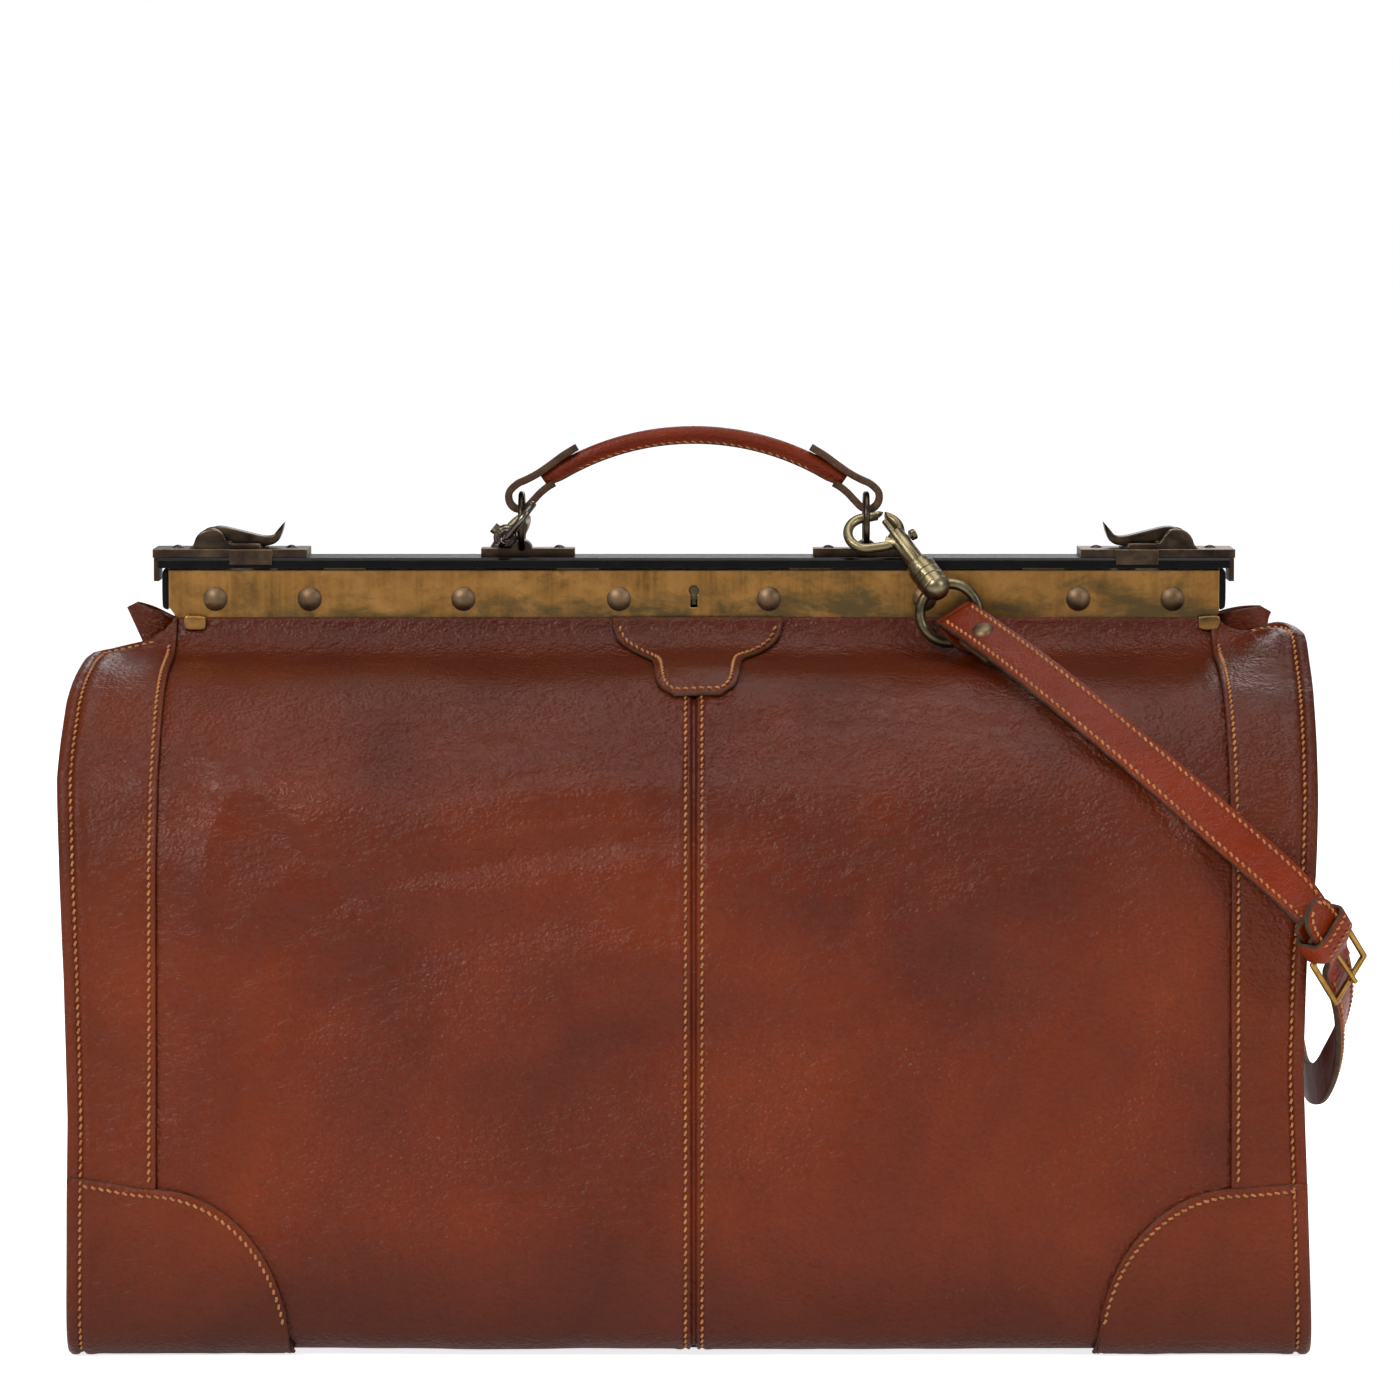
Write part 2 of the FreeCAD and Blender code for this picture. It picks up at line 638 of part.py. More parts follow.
def ring_shape(side_name, extra=0.0):
    data = RINGS[side_name]
    ring = Part.makeTorus(size("ring_bend"), size("ring_wire") / 2 + extra)
    ring.Placement = FreeCAD.Placement(Vector(*data["centre"]), axes(data["along"], data["across"]))
    return ring


def cylinder_x(radius, start, end):
    return Part.makeCylinder(radius, end - start, Vector(start, 0, 0), Vector(1, 0, 0))


def build_hook(side_name):
    """Snap hook: oval eye, barrel and ringed swivel collar, and the sprung plunger that shuts it."""
    data = HOOKS[side_name]
    turn = axes(data["along"], data["across"])
    eye_at = Vector(1.6, 7.2, 0)
    eye = stadium(8.0, 6.4, 3.0)
    eye.Placement = FreeCAD.Placement(eye_at, FreeCAD.Rotation(Vector(0, 0, 1), 112))
    hook = eye.cut(cylinder_x(2.4, -5, 7))
    neck = Part.makeCylinder(1.9, 7.0, Vector(8.6, 5.4, 0), Vector(0.75, -0.66, 0))
    hook = hook.fuse([cylinder_x(3.4, 7.6, 26), neck, cylinder_x(4.6, 25.6, 41)])
    for start, radius in ((26.0, 5.0), (28.6, 5.8), (32.2, 5.8), (35.8, 5.8)):
        hook = hook.fuse(cylinder_x(radius, start, start + 2.4))
    cap = Part.makeSphere(5.6, Vector(39.0, 0, 0))
    hook = hook.fuse(cap.common(Part.makeBox(12, 12, 12, Vector(39.0, -6, -6))))
    knob_way = Vector(*data["knob"])
    slot = Part.makeBox(10.0, 2.6, 6.0, Vector(9.8, -1.3, 0))
    slot.Placement = FreeCAD.Placement(Vector(0, 0, 0), FreeCAD.Rotation(Vector(1, 0, 0), data["knob_turn"]))
    hook = hook.cut(cylinder_x(1.55, 6, 20)).cut(slot)
    stem = Part.makeCylinder(1.1, 7.0, Vector(11.4, 0, 0), knob_way)
    knob = Part.makeCylinder(2.4, 2.0, Vector(11.4, 0, 0) + knob_way * 5.4, knob_way)
    plunger = cylinder_x(1.5, -0.9, 13.2).fuse([stem, knob])
    origin = Vector(*data["eye"]) - turn.multVec(eye_at)
    place = FreeCAD.Placement(origin, turn)
    ring_way = ring_shape(side_name, 0.2)
    ring_way.transformShape(place.inverse().toMatrix())
    shape_node("snap_hook_" + side_name, hook.cut(ring_way).removeSplitter(), turn, origin)
    shape_node("plunger_" + side_name, plunger.removeSplitter(), turn, origin)
    print("hook", side_name, "slides along", turn.multVec(Vector(1, 0, 0)), "cap",
          origin + turn.multVec(Vector(43, 0, 0)))


def build_hooks():
    for side_name, _ in SIDES:
        build_hook(side_name)
        shape_node("strap_ring_" + side_name, ring_shape(side_name))


# ---------------------------------------------------------------- strap
# Points of the strap's middle line, each with the direction its face looks.
FRONT_ROUTE = [
    ((111.8, -32.5, 302.4), (-0.1, -0.72, 0.68)),
    ((127.0, -54.5, 298.2), (-0.1, -0.58, 0.82)),
    ((150.0, -84.0, 280.0), (0.0, -0.66, 0.75)),
    ((183.0, -108.0, 250.5), (0.0, -0.86, 0.50)),
    ((214.0, -124.5, 224.0), (0.1, -0.96, 0.25)),
    ((242.0, -133.5, 200.0), (0.3, -0.95, 0.1)),
    ((252.0, -138.5, 189.5), (0.55, -0.83, 0.0)),
    ((256.0, -140.6, 182.4), (0.73, -0.68, -0.05)),
]
REAR_ROUTE = [
    ((263.5, -130.6, 165.5), (0.73, -0.68, -0.05)),
    ((269.0, -122.0, 154.0), (0.82, -0.57, 0.0)),
    ((271.5, -100.0, 131.0), (0.95, -0.30, 0.05)),
    ((271.5, -68.0, 112.0), (1.0, 0.0, 0.1)),
    ((271.0, -30.0, 99.0), (1.0, 0.0, 0.1)),
    ((271.0, 28.0, 93.0), (1.0, 0.0, 0.1)),
    ((272.0, 86.0, 99.0), (0.97, 0.2, 0.1)),
    ((270.0, 134.0, 111.0), (0.70, 0.71, 0.0)),
    ((226.0, 143.0, 127.0), (0.1, 0.99, 0.0)),
    ((172.0, 141.5, 143.0), (0.0, 1.0, 0.0)),
    ((116.0, 140.0, 164.0), (0.0, 1.0, 0.05)),
    ((62.0, 139.5, 192.0), (0.0, 0.99, 0.1)),
    ((12.0, 136.0, 226.0), (0.0, 0.93, 0.36)),
    ((-28.0, 121.5, 262.0), (0.0, 0.82, 0.57)),
    ((-56.0, 95.0, 294.0), (0.0, 0.66, 0.75)),
    ((-74.0, 68.0, 310.0), (0.0, 0.55, 0.83)),
    ((-81.0, 47.5, 319.5), (0.1, 0.45, 0.88)),
]


ARC_SHARE = 0.45             # of the shorter run at a corner, taken up by the arc


def rounded_route(points):
    """Straight runs joined by tangent arcs, as a wire, with the radii used."""
    edges = []
    radii = []
    here = points[0]
    for before, corner, after in zip(points, points[1:], points[2:]):
        back = before - corner
        ahead = after - corner
        shorter = min(back.Length, ahead.Length)
        back.normalize()
        ahead.normalize()
        turn = math.pi - back.getAngle(ahead)
        trim = ARC_SHARE * shorter
        radius = trim / math.tan(turn / 2)
        start = corner + back * trim
        end = corner + ahead * trim
        bisector = (back + ahead).normalize()
        reach = math.hypot(trim, radius)
        middle = corner + bisector * (reach - radius)
        if start.distanceToPoint(here) > 1e-6:
            edges.append(Part.LineSegment(here, start).toShape())
        edges.append(Part.Arc(start, middle, end).toShape())
        radii.append(radius)
        here = end
    edges.append(Part.LineSegment(here, points[-1]).toShape())
    return Part.Wire(edges), radii


def band(route, name):
    """A flat strap along the route: rectangles set square to it, joined face to face."""
    width = size("strap_width") / 2
    thick = size("strap_thick") / 2
    points = [Vector(*place) for place, _ in route]
    faces = [Vector(*look).normalize() for _, look in route]
    wire, radii = rounded_route(points)
    stations = wire.discretize(Number=max(24, int(wire.Length / 9.0)))
    reach = [0.0]
    for a, b in zip(points, points[1:]):
        reach.append(reach[-1] + a.distanceToPoint(b))
    total = reach[-1]
    rings = []
    for index, here in enumerate(stations):
        before = stations[max(index - 1, 0)]
        after = stations[min(index + 1, len(stations) - 1)]
        along = (after - before).normalize()
        travelled = total * index / (len(stations) - 1)
        run = max(i for i in range(len(reach) - 1) if reach[i] <= travelled + 1e-9)
        share = (travelled - reach[run]) / (reach[run + 1] - reach[run])
        look = faces[run] * (1 - share) + faces[run + 1] * share
        out = (look - along * look.dot(along)).normalize()
        side = along.cross(out)
        rings.append([here + side * width + out * thick, here - side * width + out * thick,
                      here - side * width - out * thick, here + side * width - out * thick])
    shape = ruled_tube(rings)
    section = size("strap_width") * size("strap_thick")
    print(name, "length %.1f volume/section %.1f radii %s" % (
        wire.Length, shape.Volume / section, [round(r) for r in radii]))
    return shape


def ruled_tube(rings):
    """A closed solid through four-cornered rings, its sides split into triangles."""
    skins = []
    for ring, following in zip(rings, rings[1:]):
        for k in range(4):
            a, b = ring[k], ring[(k + 1) % 4]
            c, d = following[(k + 1) % 4], following[k]
            skins.append(Part.Face(Part.makePolygon([a, b, c, a])))
            skins.append(Part.Face(Part.makePolygon([a, c, d, a])))
    for ring in (rings[0], rings[-1]):
        a, b, c, d = ring
        skins.append(Part.Face(Part.makePolygon([a, b, c, a])))
        skins.append(Part.Face(Part.makePolygon([a, c, d, a])))
    shell = Part.Shell(skins)
    shell.sewShape()
    solid = Part.Solid(shell)
    if solid.Volume < 0:
        solid.reverse()
    return solid


FRONT_SPLIT = 183.0          # the strap right of this plane stays with the body
REAR_SPLIT = -44.0           # the strap right of this plane stays with the body


def half_space(x, side):
    reach = 600.0
    low = (x, -reach, -50) if side > 0 else (x - 2 * reach, -reach, -50)
    return Part.makeBox(2 * reach, 2 * reach, 500, Vector(*low))


def build_strap():
    front = band(FRONT_ROUTE, "front strap")
    rear = band(REAR_ROUTE, "rear strap")
    front = front.cut(ring_shape("right", 0.3))
    rear = rear.cut(ring_shape("left", 0.3))
    shape_node("strap_front_upper", front.common(half_space(FRONT_SPLIT, -1)))
    shape_node("strap_front_lower", front.common(half_space(FRONT_SPLIT, 1)))
    shape_node("strap_rear_lower", rear.common(half_space(REAR_SPLIT, 1)))
    shape_node("strap_rear_upper", rear.common(half_space(REAR_SPLIT, -1)))


def build_buckle():
    """Rectangular wire buckle where the two strap lengths meet, and its prong."""
    along = (0.45, 0.54, -0.71)
    look = (0.731, -0.682, -0.055)
    turn = FreeCAD.Rotation(Vector(*along).normalize(), Vector(0, 0, 0), Vector(*look), "XZY")
    middle = Vector(264.9, -133.7, 166.9)
    wire = 1.3
    half_long = 12.0
    half_wide = 12.6
    frame = None
    corners = [(-half_long, -half_wide), (half_long, -half_wide),
               (half_long, half_wide), (-half_long, half_wide)]
    for (ax, ay), (bx, by) in zip(corners, corners[1:] + corners[:1]):
        bar = rod((ax, ay, 0), (bx, by, 0), wire)
        joint = Part.makeSphere(wire, Vector(ax, ay, 0))
        frame = bar.fuse(joint) if frame is None else frame.fuse([bar, joint])
    shape_node("buckle_frame", frame.removeSplitter(), turn, middle)
    eye = Part.makeTorus(wire + 1.15, 1.0, Vector(-half_long, 0, 0), Vector(0, 1, 0))
    pin = rod((-half_long + wire + 1.2, 0, 0.9), (half_long + 1.4, 0, 2.5), 1.0)
    shape_node("buckle_prong", eye.fuse(pin).removeSplitter(), turn, middle)
    print("buckle across", turn.multVec(Vector(0, 1, 0)), "out", turn.multVec(Vector(0, 0, 1)), "prong pivot",
          middle + turn.multVec(Vector(-half_long, 0, 0)))


build_body()
build_inside()
for jaw_name, jaw_face in FACES:
    build_frame(jaw_name, jaw_face, jaw_name)
    build_rail(jaw_name, jaw_face)
    build_rivets(jaw_name, jaw_face)
    build_yoke(jaw_name, jaw_face)
    build_folds(jaw_name, jaw_face)
build_lock()
build_lock_tab()
build_top_plate()
for end_name, end in SIDES:
    build_catch(end_name, end)
build_catch_details()
build_brackets()
build_handle()
build_hooks()
build_strap()
build_buckle()

# ---------------------------------------------------------------- check and write
doc.recompute()
for thing in doc.Objects:
    if any(word in thing.State for word in ("Invalid", "Error")):
        raise RuntimeError("%s did not build" % thing.Label)
os.makedirs("parts", exist_ok=True)
for thing in nodes:
    if thing.Shape.isNull() or not thing.Shape.isValid():
        raise RuntimeError("%s has no valid shape" % thing.Label)
    thing.Shape.exportStep("parts/%s.step" % thing.Label)
print(len(nodes), "nodes")
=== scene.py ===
"""Looks of the leather doctor bag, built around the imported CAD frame. Shapes are written in millimetres
in the frame's axes (x to the right, -y to the front, z up) and turned into metres when a mesh is made."""
import math

import bmesh
import bpy
import numpy as np
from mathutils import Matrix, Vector, noise


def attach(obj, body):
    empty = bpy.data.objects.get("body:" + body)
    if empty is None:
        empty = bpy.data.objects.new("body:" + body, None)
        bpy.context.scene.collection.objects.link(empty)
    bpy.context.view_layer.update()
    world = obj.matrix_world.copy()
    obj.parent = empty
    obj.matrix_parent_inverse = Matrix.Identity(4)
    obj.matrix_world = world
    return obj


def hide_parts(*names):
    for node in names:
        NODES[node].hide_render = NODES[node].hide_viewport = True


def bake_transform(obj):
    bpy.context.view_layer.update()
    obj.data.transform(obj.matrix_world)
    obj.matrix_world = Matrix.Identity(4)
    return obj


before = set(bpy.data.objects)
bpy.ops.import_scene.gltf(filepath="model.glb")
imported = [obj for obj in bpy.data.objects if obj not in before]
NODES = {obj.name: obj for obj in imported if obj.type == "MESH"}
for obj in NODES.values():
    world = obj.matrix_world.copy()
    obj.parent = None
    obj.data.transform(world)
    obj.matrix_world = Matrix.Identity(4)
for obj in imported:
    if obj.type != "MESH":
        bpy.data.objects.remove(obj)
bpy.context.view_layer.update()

MM = 0.001
FRONT, REAR = -1.0, 1.0
LEFT, RIGHT = -1.0, 1.0


# ---------------------------------------------------------------- camera
def make_camera():
    data = bpy.data.cameras.new("camera")
    data.lens = 149.2
    data.sensor_width = 36.0
    camera = bpy.data.objects.new("camera", data)
    camera.location = (0.0026, -2.5, 0.475)
    camera.rotation_euler = (math.radians(90.0 - 4.848), 0.0, 0.0)
    bpy.context.scene.collection.objects.link(camera)
    bpy.context.scene.camera = camera


make_camera()


# ---------------------------------------------------------------- small mesh tools
def unit(v):
    v = np.asarray(v, float)
    return v / np.maximum(np.linalg.norm(v, axis=-1, keepdims=True), 1e-9)


def smooth(a, b, x):
    t = np.clip((np.asarray(x, float) - a) / (b - a), 0.0, 1.0)
    return t * t * (3.0 - 2.0 * t)


def bump(x, centre, width):
    return np.exp(-(((np.asarray(x, float) - centre) / width) ** 2))


def make_piece(name, points, faces, materials, picks=None):
    """A mesh object from points in millimetres; picks gives each face's material."""
    mesh = bpy.data.meshes.new(name)
    mesh.from_pydata([tuple(p) for p in np.asarray(points, float) * MM], [], faces)
    for m in materials:
        mesh.materials.append(m)
    if picks is not None:
        mesh.polygons.foreach_set("material_index", list(picks))
    mesh.polygons.foreach_set("use_smooth", [True] * len(mesh.polygons))
    mesh.update()
    piece = bpy.data.objects.new(name, mesh)
    bpy.context.scene.collection.objects.link(piece)
    return piece


def toward(grid, x, y, z):
    """One direction for every point of a grid."""
    return np.broadcast_to((float(x), float(y), float(z)), grid.shape)


def grid_normals(grid):
    du = np.gradient(grid, axis=0)
    dv = np.gradient(grid, axis=1)
    return unit(np.cross(du, dv))


EDGE_ROLL = 0.25


def grid_shell(name, grid, thickness, materials, outward):
    """A closed leather piece: the outer face through the grid, an inner face a thickness behind it, and a
    rounded raw edge all round. They take the first, the third (or else the first) and the second material."""
    rows, columns = grid.shape[:2]
    normals = grid_normals(grid)
    if np.mean(np.sum(normals * outward, axis=-1)) < 0:
        normals = -normals
    inner = grid - normals * thickness
    points = [grid.reshape(-1, 3), inner.reshape(-1, 3)]
    count = rows * columns
    index = np.arange(count).reshape(rows, columns)
    a, b = index[:-1, :-1].ravel(), index[1:, :-1].ravel()
    c, d = index[1:, 1:].ravel(), index[:-1, 1:].ravel()
    quads = np.stack([a, b, c, d], 1)
    mid_r, mid_c = rows // 2, columns // 2
    face_normal = np.cross(
        grid[mid_r, mid_c] - grid[mid_r - 1, mid_c], grid[mid_r, mid_c] - grid[mid_r, mid_c - 1]
    )
    if np.dot(face_normal, normals[mid_r, mid_c]) < 0:
        quads = quads[:, ::-1]
    faces = [tuple(q) for q in quads] + [tuple(q[::-1] + count) for q in quads]
    picks = [0] * len(quads) + [2 if len(materials) > 2 else 0] * len(quads)
    loop = np.concatenate([index[:-1, 0], index[-1, :-1], index[:0:-1, -1], index[0, :0:-1]])
    flat = grid.reshape(-1, 3)
    centre = (flat[loop] + inner.reshape(-1, 3)[loop]) / 2
    forward = np.roll(flat[loop], -1, axis=0) - np.roll(flat[loop], 1, axis=0)
    out = unit(np.cross(forward, normals.reshape(-1, 3)[loop]))
    inside = flat[loop] - flat.mean(0)
    if np.mean(np.sum(out * inside, axis=-1)) < 0:
        out = -out
    points.append(centre + out * EDGE_ROLL)
    rim = np.arange(len(loop)) + 2 * count
    nxt = np.roll(np.arange(len(loop)), -1)
    side = [(loop[i], loop[j], rim[j], rim[i]) for i, j in enumerate(nxt)]
    side += [(rim[i], rim[j], loop[j] + count, loop[i] + count) for i, j in enumerate(nxt)]
    first = np.vstack(points)
    probe = side[len(side) // 4]
    n = np.cross(first[probe[1]] - first[probe[0]], first[probe[3]] - first[probe[0]])
    if np.dot(n, out[len(side) // 4 % len(loop)]) < 0:
        side = [f[::-1] for f in side]
    faces += side
    picks += [1] * len(side)
    faces = [tuple(int(i) for i in f) for f in faces]
    return make_piece(name, first, faces, materials, picks)


def cap_tube(rings):
    """Points and faces of a closed tube through rings of points, all of the same count."""
    rings = np.asarray(rings, float)
    count, around = rings.shape[:2]
    faces = []
    for i in range(count - 1):
        for j in range(around):
            k = (j + 1) % around
            faces.append((i * around + j, i * around + k, (i + 1) * around + k, (i + 1) * around + j))
    faces.append(tuple(range(around))[::-1])
    faces.append(tuple((count - 1) * around + j for j in range(around)))
    return rings.reshape(-1, 3), faces


def frames_along(path, facing):
    """Tangent, face normal and side direction at each path point."""
    path = np.asarray(path, float)
    tangent = unit(np.gradient(path, axis=0))
    facing = np.asarray(facing, float)
    normal = unit(facing - tangent * np.sum(facing * tangent, axis=-1, keepdims=True))
    return tangent, normal, np.cross(tangent, normal)


def band_piece(name, path, facing, width, thickness, materials, taper=None):
    """A flat strap: smooth faces, and raw edges in the second material."""
    _, normal, side = frames_along(path, facing)
    path = np.asarray(path, float)
    w = np.full(len(path), width / 2) if taper is None else np.asarray(taper, float)
    h = thickness / 2
    section = [(-1.0, -0.42), (-0.97, -0.9), (-0.9, -1.0), (-0.3, -1.06), (0.3, -1.06), (0.9, -1.0),
               (0.97, -0.9), (1.0, -0.42), (1.0, 0.42), (0.97, 0.9), (0.9, 1.0), (0.3, 1.06),
               (-0.3, 1.06), (-0.9, 1.0), (-0.97, 0.9), (-1.0, 0.42)]
    rings = [[path[i] + side[i] * u * w[i] + normal[i] * v * h for u, v in section] for i in range(len(path))]
    points, faces = cap_tube(rings)
    raw = {0, 6, 7, 8, 14, 15}
    picks = [1 if i % len(section) in raw else 0 for i in range(len(faces) - 2)] + [1, 1]
    piece = make_piece(name, points, faces, materials, picks)
    fix_normals(piece)
    return piece


def fix_normals(piece):
    work = bmesh.new()
    work.from_mesh(piece.data)
    bmesh.ops.recalc_face_normals(work, faces=work.faces)
    work.to_mesh(piece.data)
    work.free()


def resample(points, step, extra=()):
    """Points at an even spacing along a polyline, with any per-point values carried along."""
    points = np.asarray(points, float)
    lengths = np.concatenate([[0.0], np.cumsum(np.linalg.norm(np.diff(points, axis=0), axis=1))])
    count = max(int(round(lengths[-1] / step)), 2)
    at = np.linspace(0.0, lengths[-1], count + 1)
    return [np.stack([np.interp(at, lengths, v[:, k]) for k in range(3)], 1)
            for v in (points, *[np.asarray(e, float) for e in extra])]


STITCH_PITCH = 3.3
STITCH_SLANT = 0.4


def stitch_piece(name, runs, long=2.45, radius=0.56):
    """Raised thread stitches; runs are (points, outward directions) in millimetres."""
    t = np.array([-1.0, -0.86, -0.5, 0.0, 0.5, 0.86, 1.0])
    rise = np.array([-0.75, -0.1, 0.26, 0.36, 0.26, -0.1, -0.75])
    fat = np.array([0.45, 0.9, 1.0, 1.0, 1.0, 0.9, 0.45])
    rounds, sides = len(t), 6
    angles = np.arange(sides) * math.pi / 3
    points, faces = [], []
    for path, out in runs:
        p, n = resample(path, STITCH_PITCH, (out,))
        mid = (p[:-1] + p[1:]) / 2
        along = unit(p[1:] - p[:-1])
        up = unit(n[:-1] + n[1:])
        side = np.cross(along, up)
        along = unit(along + side * STITCH_SLANT)
        side = np.cross(along, up)
        for m, a, u, s in zip(mid, along, up, side):
            base = len(points) * rounds * sides
            points.append(np.array([
                m + a * t[i] * long / 2 + u * (rise[i] + radius * fat[i] * math.sin(q))
                + s * radius * fat[i] * math.cos(q)
                for i in range(rounds) for q in angles
            ]))
            faces += [
                (
                    base + i * sides + j, base + i * sides + k, base + (i + 1) * sides + k,
                    base + (i + 1) * sides + j
                ) for i in range(rounds - 1) for j,
                k in zip(range(sides), (1, 2, 3, 4, 5, 0))
            ]
            faces.append(tuple(base + j for j in range(sides))[::-1])
            faces.append(tuple(base + (rounds - 1) * sides + j for j in range(sides)))
    piece = make_piece(name, np.vstack(points), faces, [THREAD])
    fix_normals(piece)
    return piece


# ---------------------------------------------------------------- materials
class Graph:
    """A material's node graph, with short calls for the nodes used here."""

    def __init__(self, name):
        self.material = bpy.data.materials.new(name)
        self.material.use_nodes = True
        self.nodes = self.material.node_tree.nodes
        self.links = self.material.node_tree.links
        self.shader = self.nodes["Principled BSDF"]
        self.place = self.nodes.new("ShaderNodeTexCoord").outputs["Object"]

    def add(self, kind, **values):
        node = self.nodes.new(kind)
        for key, value in values.items():
            if hasattr(node, key):
                setattr(node, key, value)
            else:
                node.inputs[key.replace("_", " ")].default_value = value
        return node

    def join(self, source, target):
        self.links.new(source, target)

    def noise(self, scale, detail=3.0, rough=0.55, stretch=None, distortion=0.0):
        node = self.add(
            "ShaderNodeTexNoise", Scale=scale, Detail=detail, Roughness=rough, Distortion=distortion
        )
        self.join(self.stretched(stretch), node.inputs["Vector"])
        return node.outputs["Fac"]

    def cells(self, scale, stretch, smoothness):
        node = self.add("ShaderNodeTexVoronoi", feature="SMOOTH_F1", Scale=scale, Smoothness=smoothness)
        self.join(self.stretched(stretch), node.inputs["Vector"])
        return node.outputs["Distance"]

    def stretched(self, stretch):
        if stretch is None:
            return self.place
        node = self.add("ShaderNodeMapping")
        node.inputs["Scale"].default_value = stretch
        self.join(self.place, node.inputs["Vector"])
        return node.outputs["Vector"]

    def ramp(self, value, stops):
        node = self.add("ShaderNodeValToRGB")
        ramp = node.color_ramp
        while len(ramp.elements) < len(stops):
            ramp.elements.new(0.5)
        for element, (at, colour) in zip(ramp.elements, stops):
            element.position = at
            element.color = (*colour, 1.0)
        self.join(value, node.inputs["Fac"])
        return node.outputs["Color"]

    def grey(self, value, low, high, to_low=0.0, to_high=1.0):
        node = self.add("ShaderNodeMapRange")
        node.inputs["From Min"].default_value = low
        node.inputs["From Max"].default_value = high
        node.inputs["To Min"].default_value = to_low
        node.inputs["To Max"].default_value = to_high
        self.join(value, node.inputs["Value"])
        return node.outputs["Result"]

    def mix(self, factor, first, second):
        node = self.add("ShaderNodeMix", data_type="RGBA", blend_type="MIX")
        sockets = {s.identifier: s for s in node.inputs}
        for key, value in (("Factor_Float", factor), ("A_Color", first), ("B_Color", second)):
            if isinstance(value, (int, float)):
                sockets[key].default_value = value
            elif isinstance(value, tuple):
                sockets[key].default_value = (*value, 1.0)
            else:
                self.join(value, sockets[key])
        return {s.identifier: s for s in node.outputs}["Result_Color"]

    def math(self, operation, a, b):
        node = self.add("ShaderNodeMath", operation=operation)
        for socket, value in zip(node.inputs, (a, b)):
            if isinstance(value, (int, float)):
                socket.default_value = value
            else:
                self.join(value, socket)
        return node.outputs["Value"]

    def edge_wear(self, radius, low, high):
        """Bright where the surface bends sharply over a convex or concave edge: the mask for worn edges that
        also carry a painted edge highlight.
        """
        rounded = self.add("ShaderNodeBevel", samples=4)
        rounded.inputs["Radius"].default_value = radius
        flat = self.add("ShaderNodeNewGeometry")
        dot = self.add("ShaderNodeVectorMath", operation="DOT_PRODUCT")
        self.join(rounded.outputs["Normal"], dot.inputs[0])
        self.join(flat.outputs["Normal"], dot.inputs[1])
        return self.grey(dot.outputs["Value"], high, low, 0.0, 1.0), rounded.outputs["Normal"]

    def bumps(self, layers, normal=None):
        """Stacked bump layers: (height, depth in metres, strength)."""
        for height, depth, strength in layers:
            node = self.add("ShaderNodeBump", Strength=strength, Distance=depth)
            self.join(height, node.inputs["Height"])
            if normal is not None:
                self.join(normal, node.inputs["Normal"])
            normal = node.outputs["Normal"]
        self.join(normal, self.shader.inputs["Normal"])

    def finish(self, colour, roughness, metallic=0.0, **fixed):
        self.join(colour, self.shader.inputs["Base Color"])
        self.join(roughness, self.shader.inputs["Roughness"])
        self.shader.inputs["Metallic"].default_value = metallic
        for key, value in fixed.items():
            self.shader.inputs[key.replace("_", " ")].default_value = value
        return self.material


def linear(colour):
    """A colour given in ordinary 0-255 screen values, as the shader's linear values."""
    return tuple((c / 255 / 12.92) if c <= 10 else ((c / 255 + 0.055) / 1.055) ** 2.4 for c in colour)


def leather(name, dark, middle, light, pebble, gloss, grain=640.0):
    g = Graph(name)
    dark, middle, light = linear(dark), linear(middle), linear(light)
    broad = g.noise(9.0, 3.0, 0.55, None, 0.6)
    cloud = g.noise(34.0, 4.0, 0.6, (1.0, 1.0, 0.7), 0.3)
    fine = g.noise(420.0, 3.0, 0.6)
    base = g.ramp(broad, [(0.22, dark), (0.46, middle), (0.78, light)])
    base = g.mix(g.grey(cloud, 0.38, 0.80, 0.0, 0.34), base, dark)
    cell = g.cells(grain, None, 0.35)
    patch = g.grey(g.noise(14.0, 2.0, 0.5, None, 0.8), 0.35, 0.65, 0.35, 1.0)
    depth = g.math("MULTIPLY", cell, patch)
    base = g.mix(g.grey(cell, 0.45, 0.95, 0.0, 0.22), base, tuple(c * 0.45 for c in dark))
    base = g.mix(g.grey(fine, 0.5, 0.85, 0.0, 0.18), base, light)
    # painted shade: the leather is darkened towards the bottom (below 60 mm) and towards the shoulder under
    # the rail (170 to 285 mm), where the shade falls
    height = g.add("ShaderNodeSeparateXYZ")
    g.join(g.place, height.inputs["Vector"])
    low = g.grey(height.outputs["Z"], 0.060, 0.0, 0.0, 0.62)
    high = g.grey(height.outputs["Z"], 0.170, 0.285, 0.0, 0.50)
    base = g.mix(g.math("ADD", low, high), base, tuple(c * 0.4 for c in dark))
    wrinkle = g.noise(120.0, 4.0, 0.62, (1.0, 1.0, 1.9), 1.1)
    rough = g.grey(g.math("ADD", cloud, g.math("MULTIPLY", cell, 0.35)), 0.35, 1.0, gloss[0], gloss[1])
    coarse = g.cells(grain * 0.42, (1.0, 1.0, 1.25), 0.5)
    g.bumps(
        [
            (wrinkle, 0.0013, 0.75),
            (g.math("SUBTRACT", 1.0, g.math("MULTIPLY", coarse, patch)), 0.0006, pebble * 2.2),
            (g.math("SUBTRACT", 1.0, depth), 0.00045, min(pebble * 4, 1.0)), (fine, 0.00015, 0.3)
        ]
    )
    return g.finish(base, rough, 0.0, Specular_IOR_Level=0.20)


def raw_edge(name, dark, light):
    g = Graph(name)
    dark, light = linear(dark), linear(light)
    fibre = g.noise(900.0, 4.0, 0.7, (1.0, 1.0, 1.0), 0.4)
    layer = g.noise(160.0, 3.0, 0.6)
    base = g.mix(g.grey(layer, 0.35, 0.7), g.ramp(fibre, [(0.3, dark), (0.7, light)]), dark)
    g.bumps([(fibre, 0.00025, 0.5)])
    return g.finish(base, g.grey(fibre, 0.3, 0.8, 0.62, 0.85), 0.0, Specular_IOR_Level=0.15)


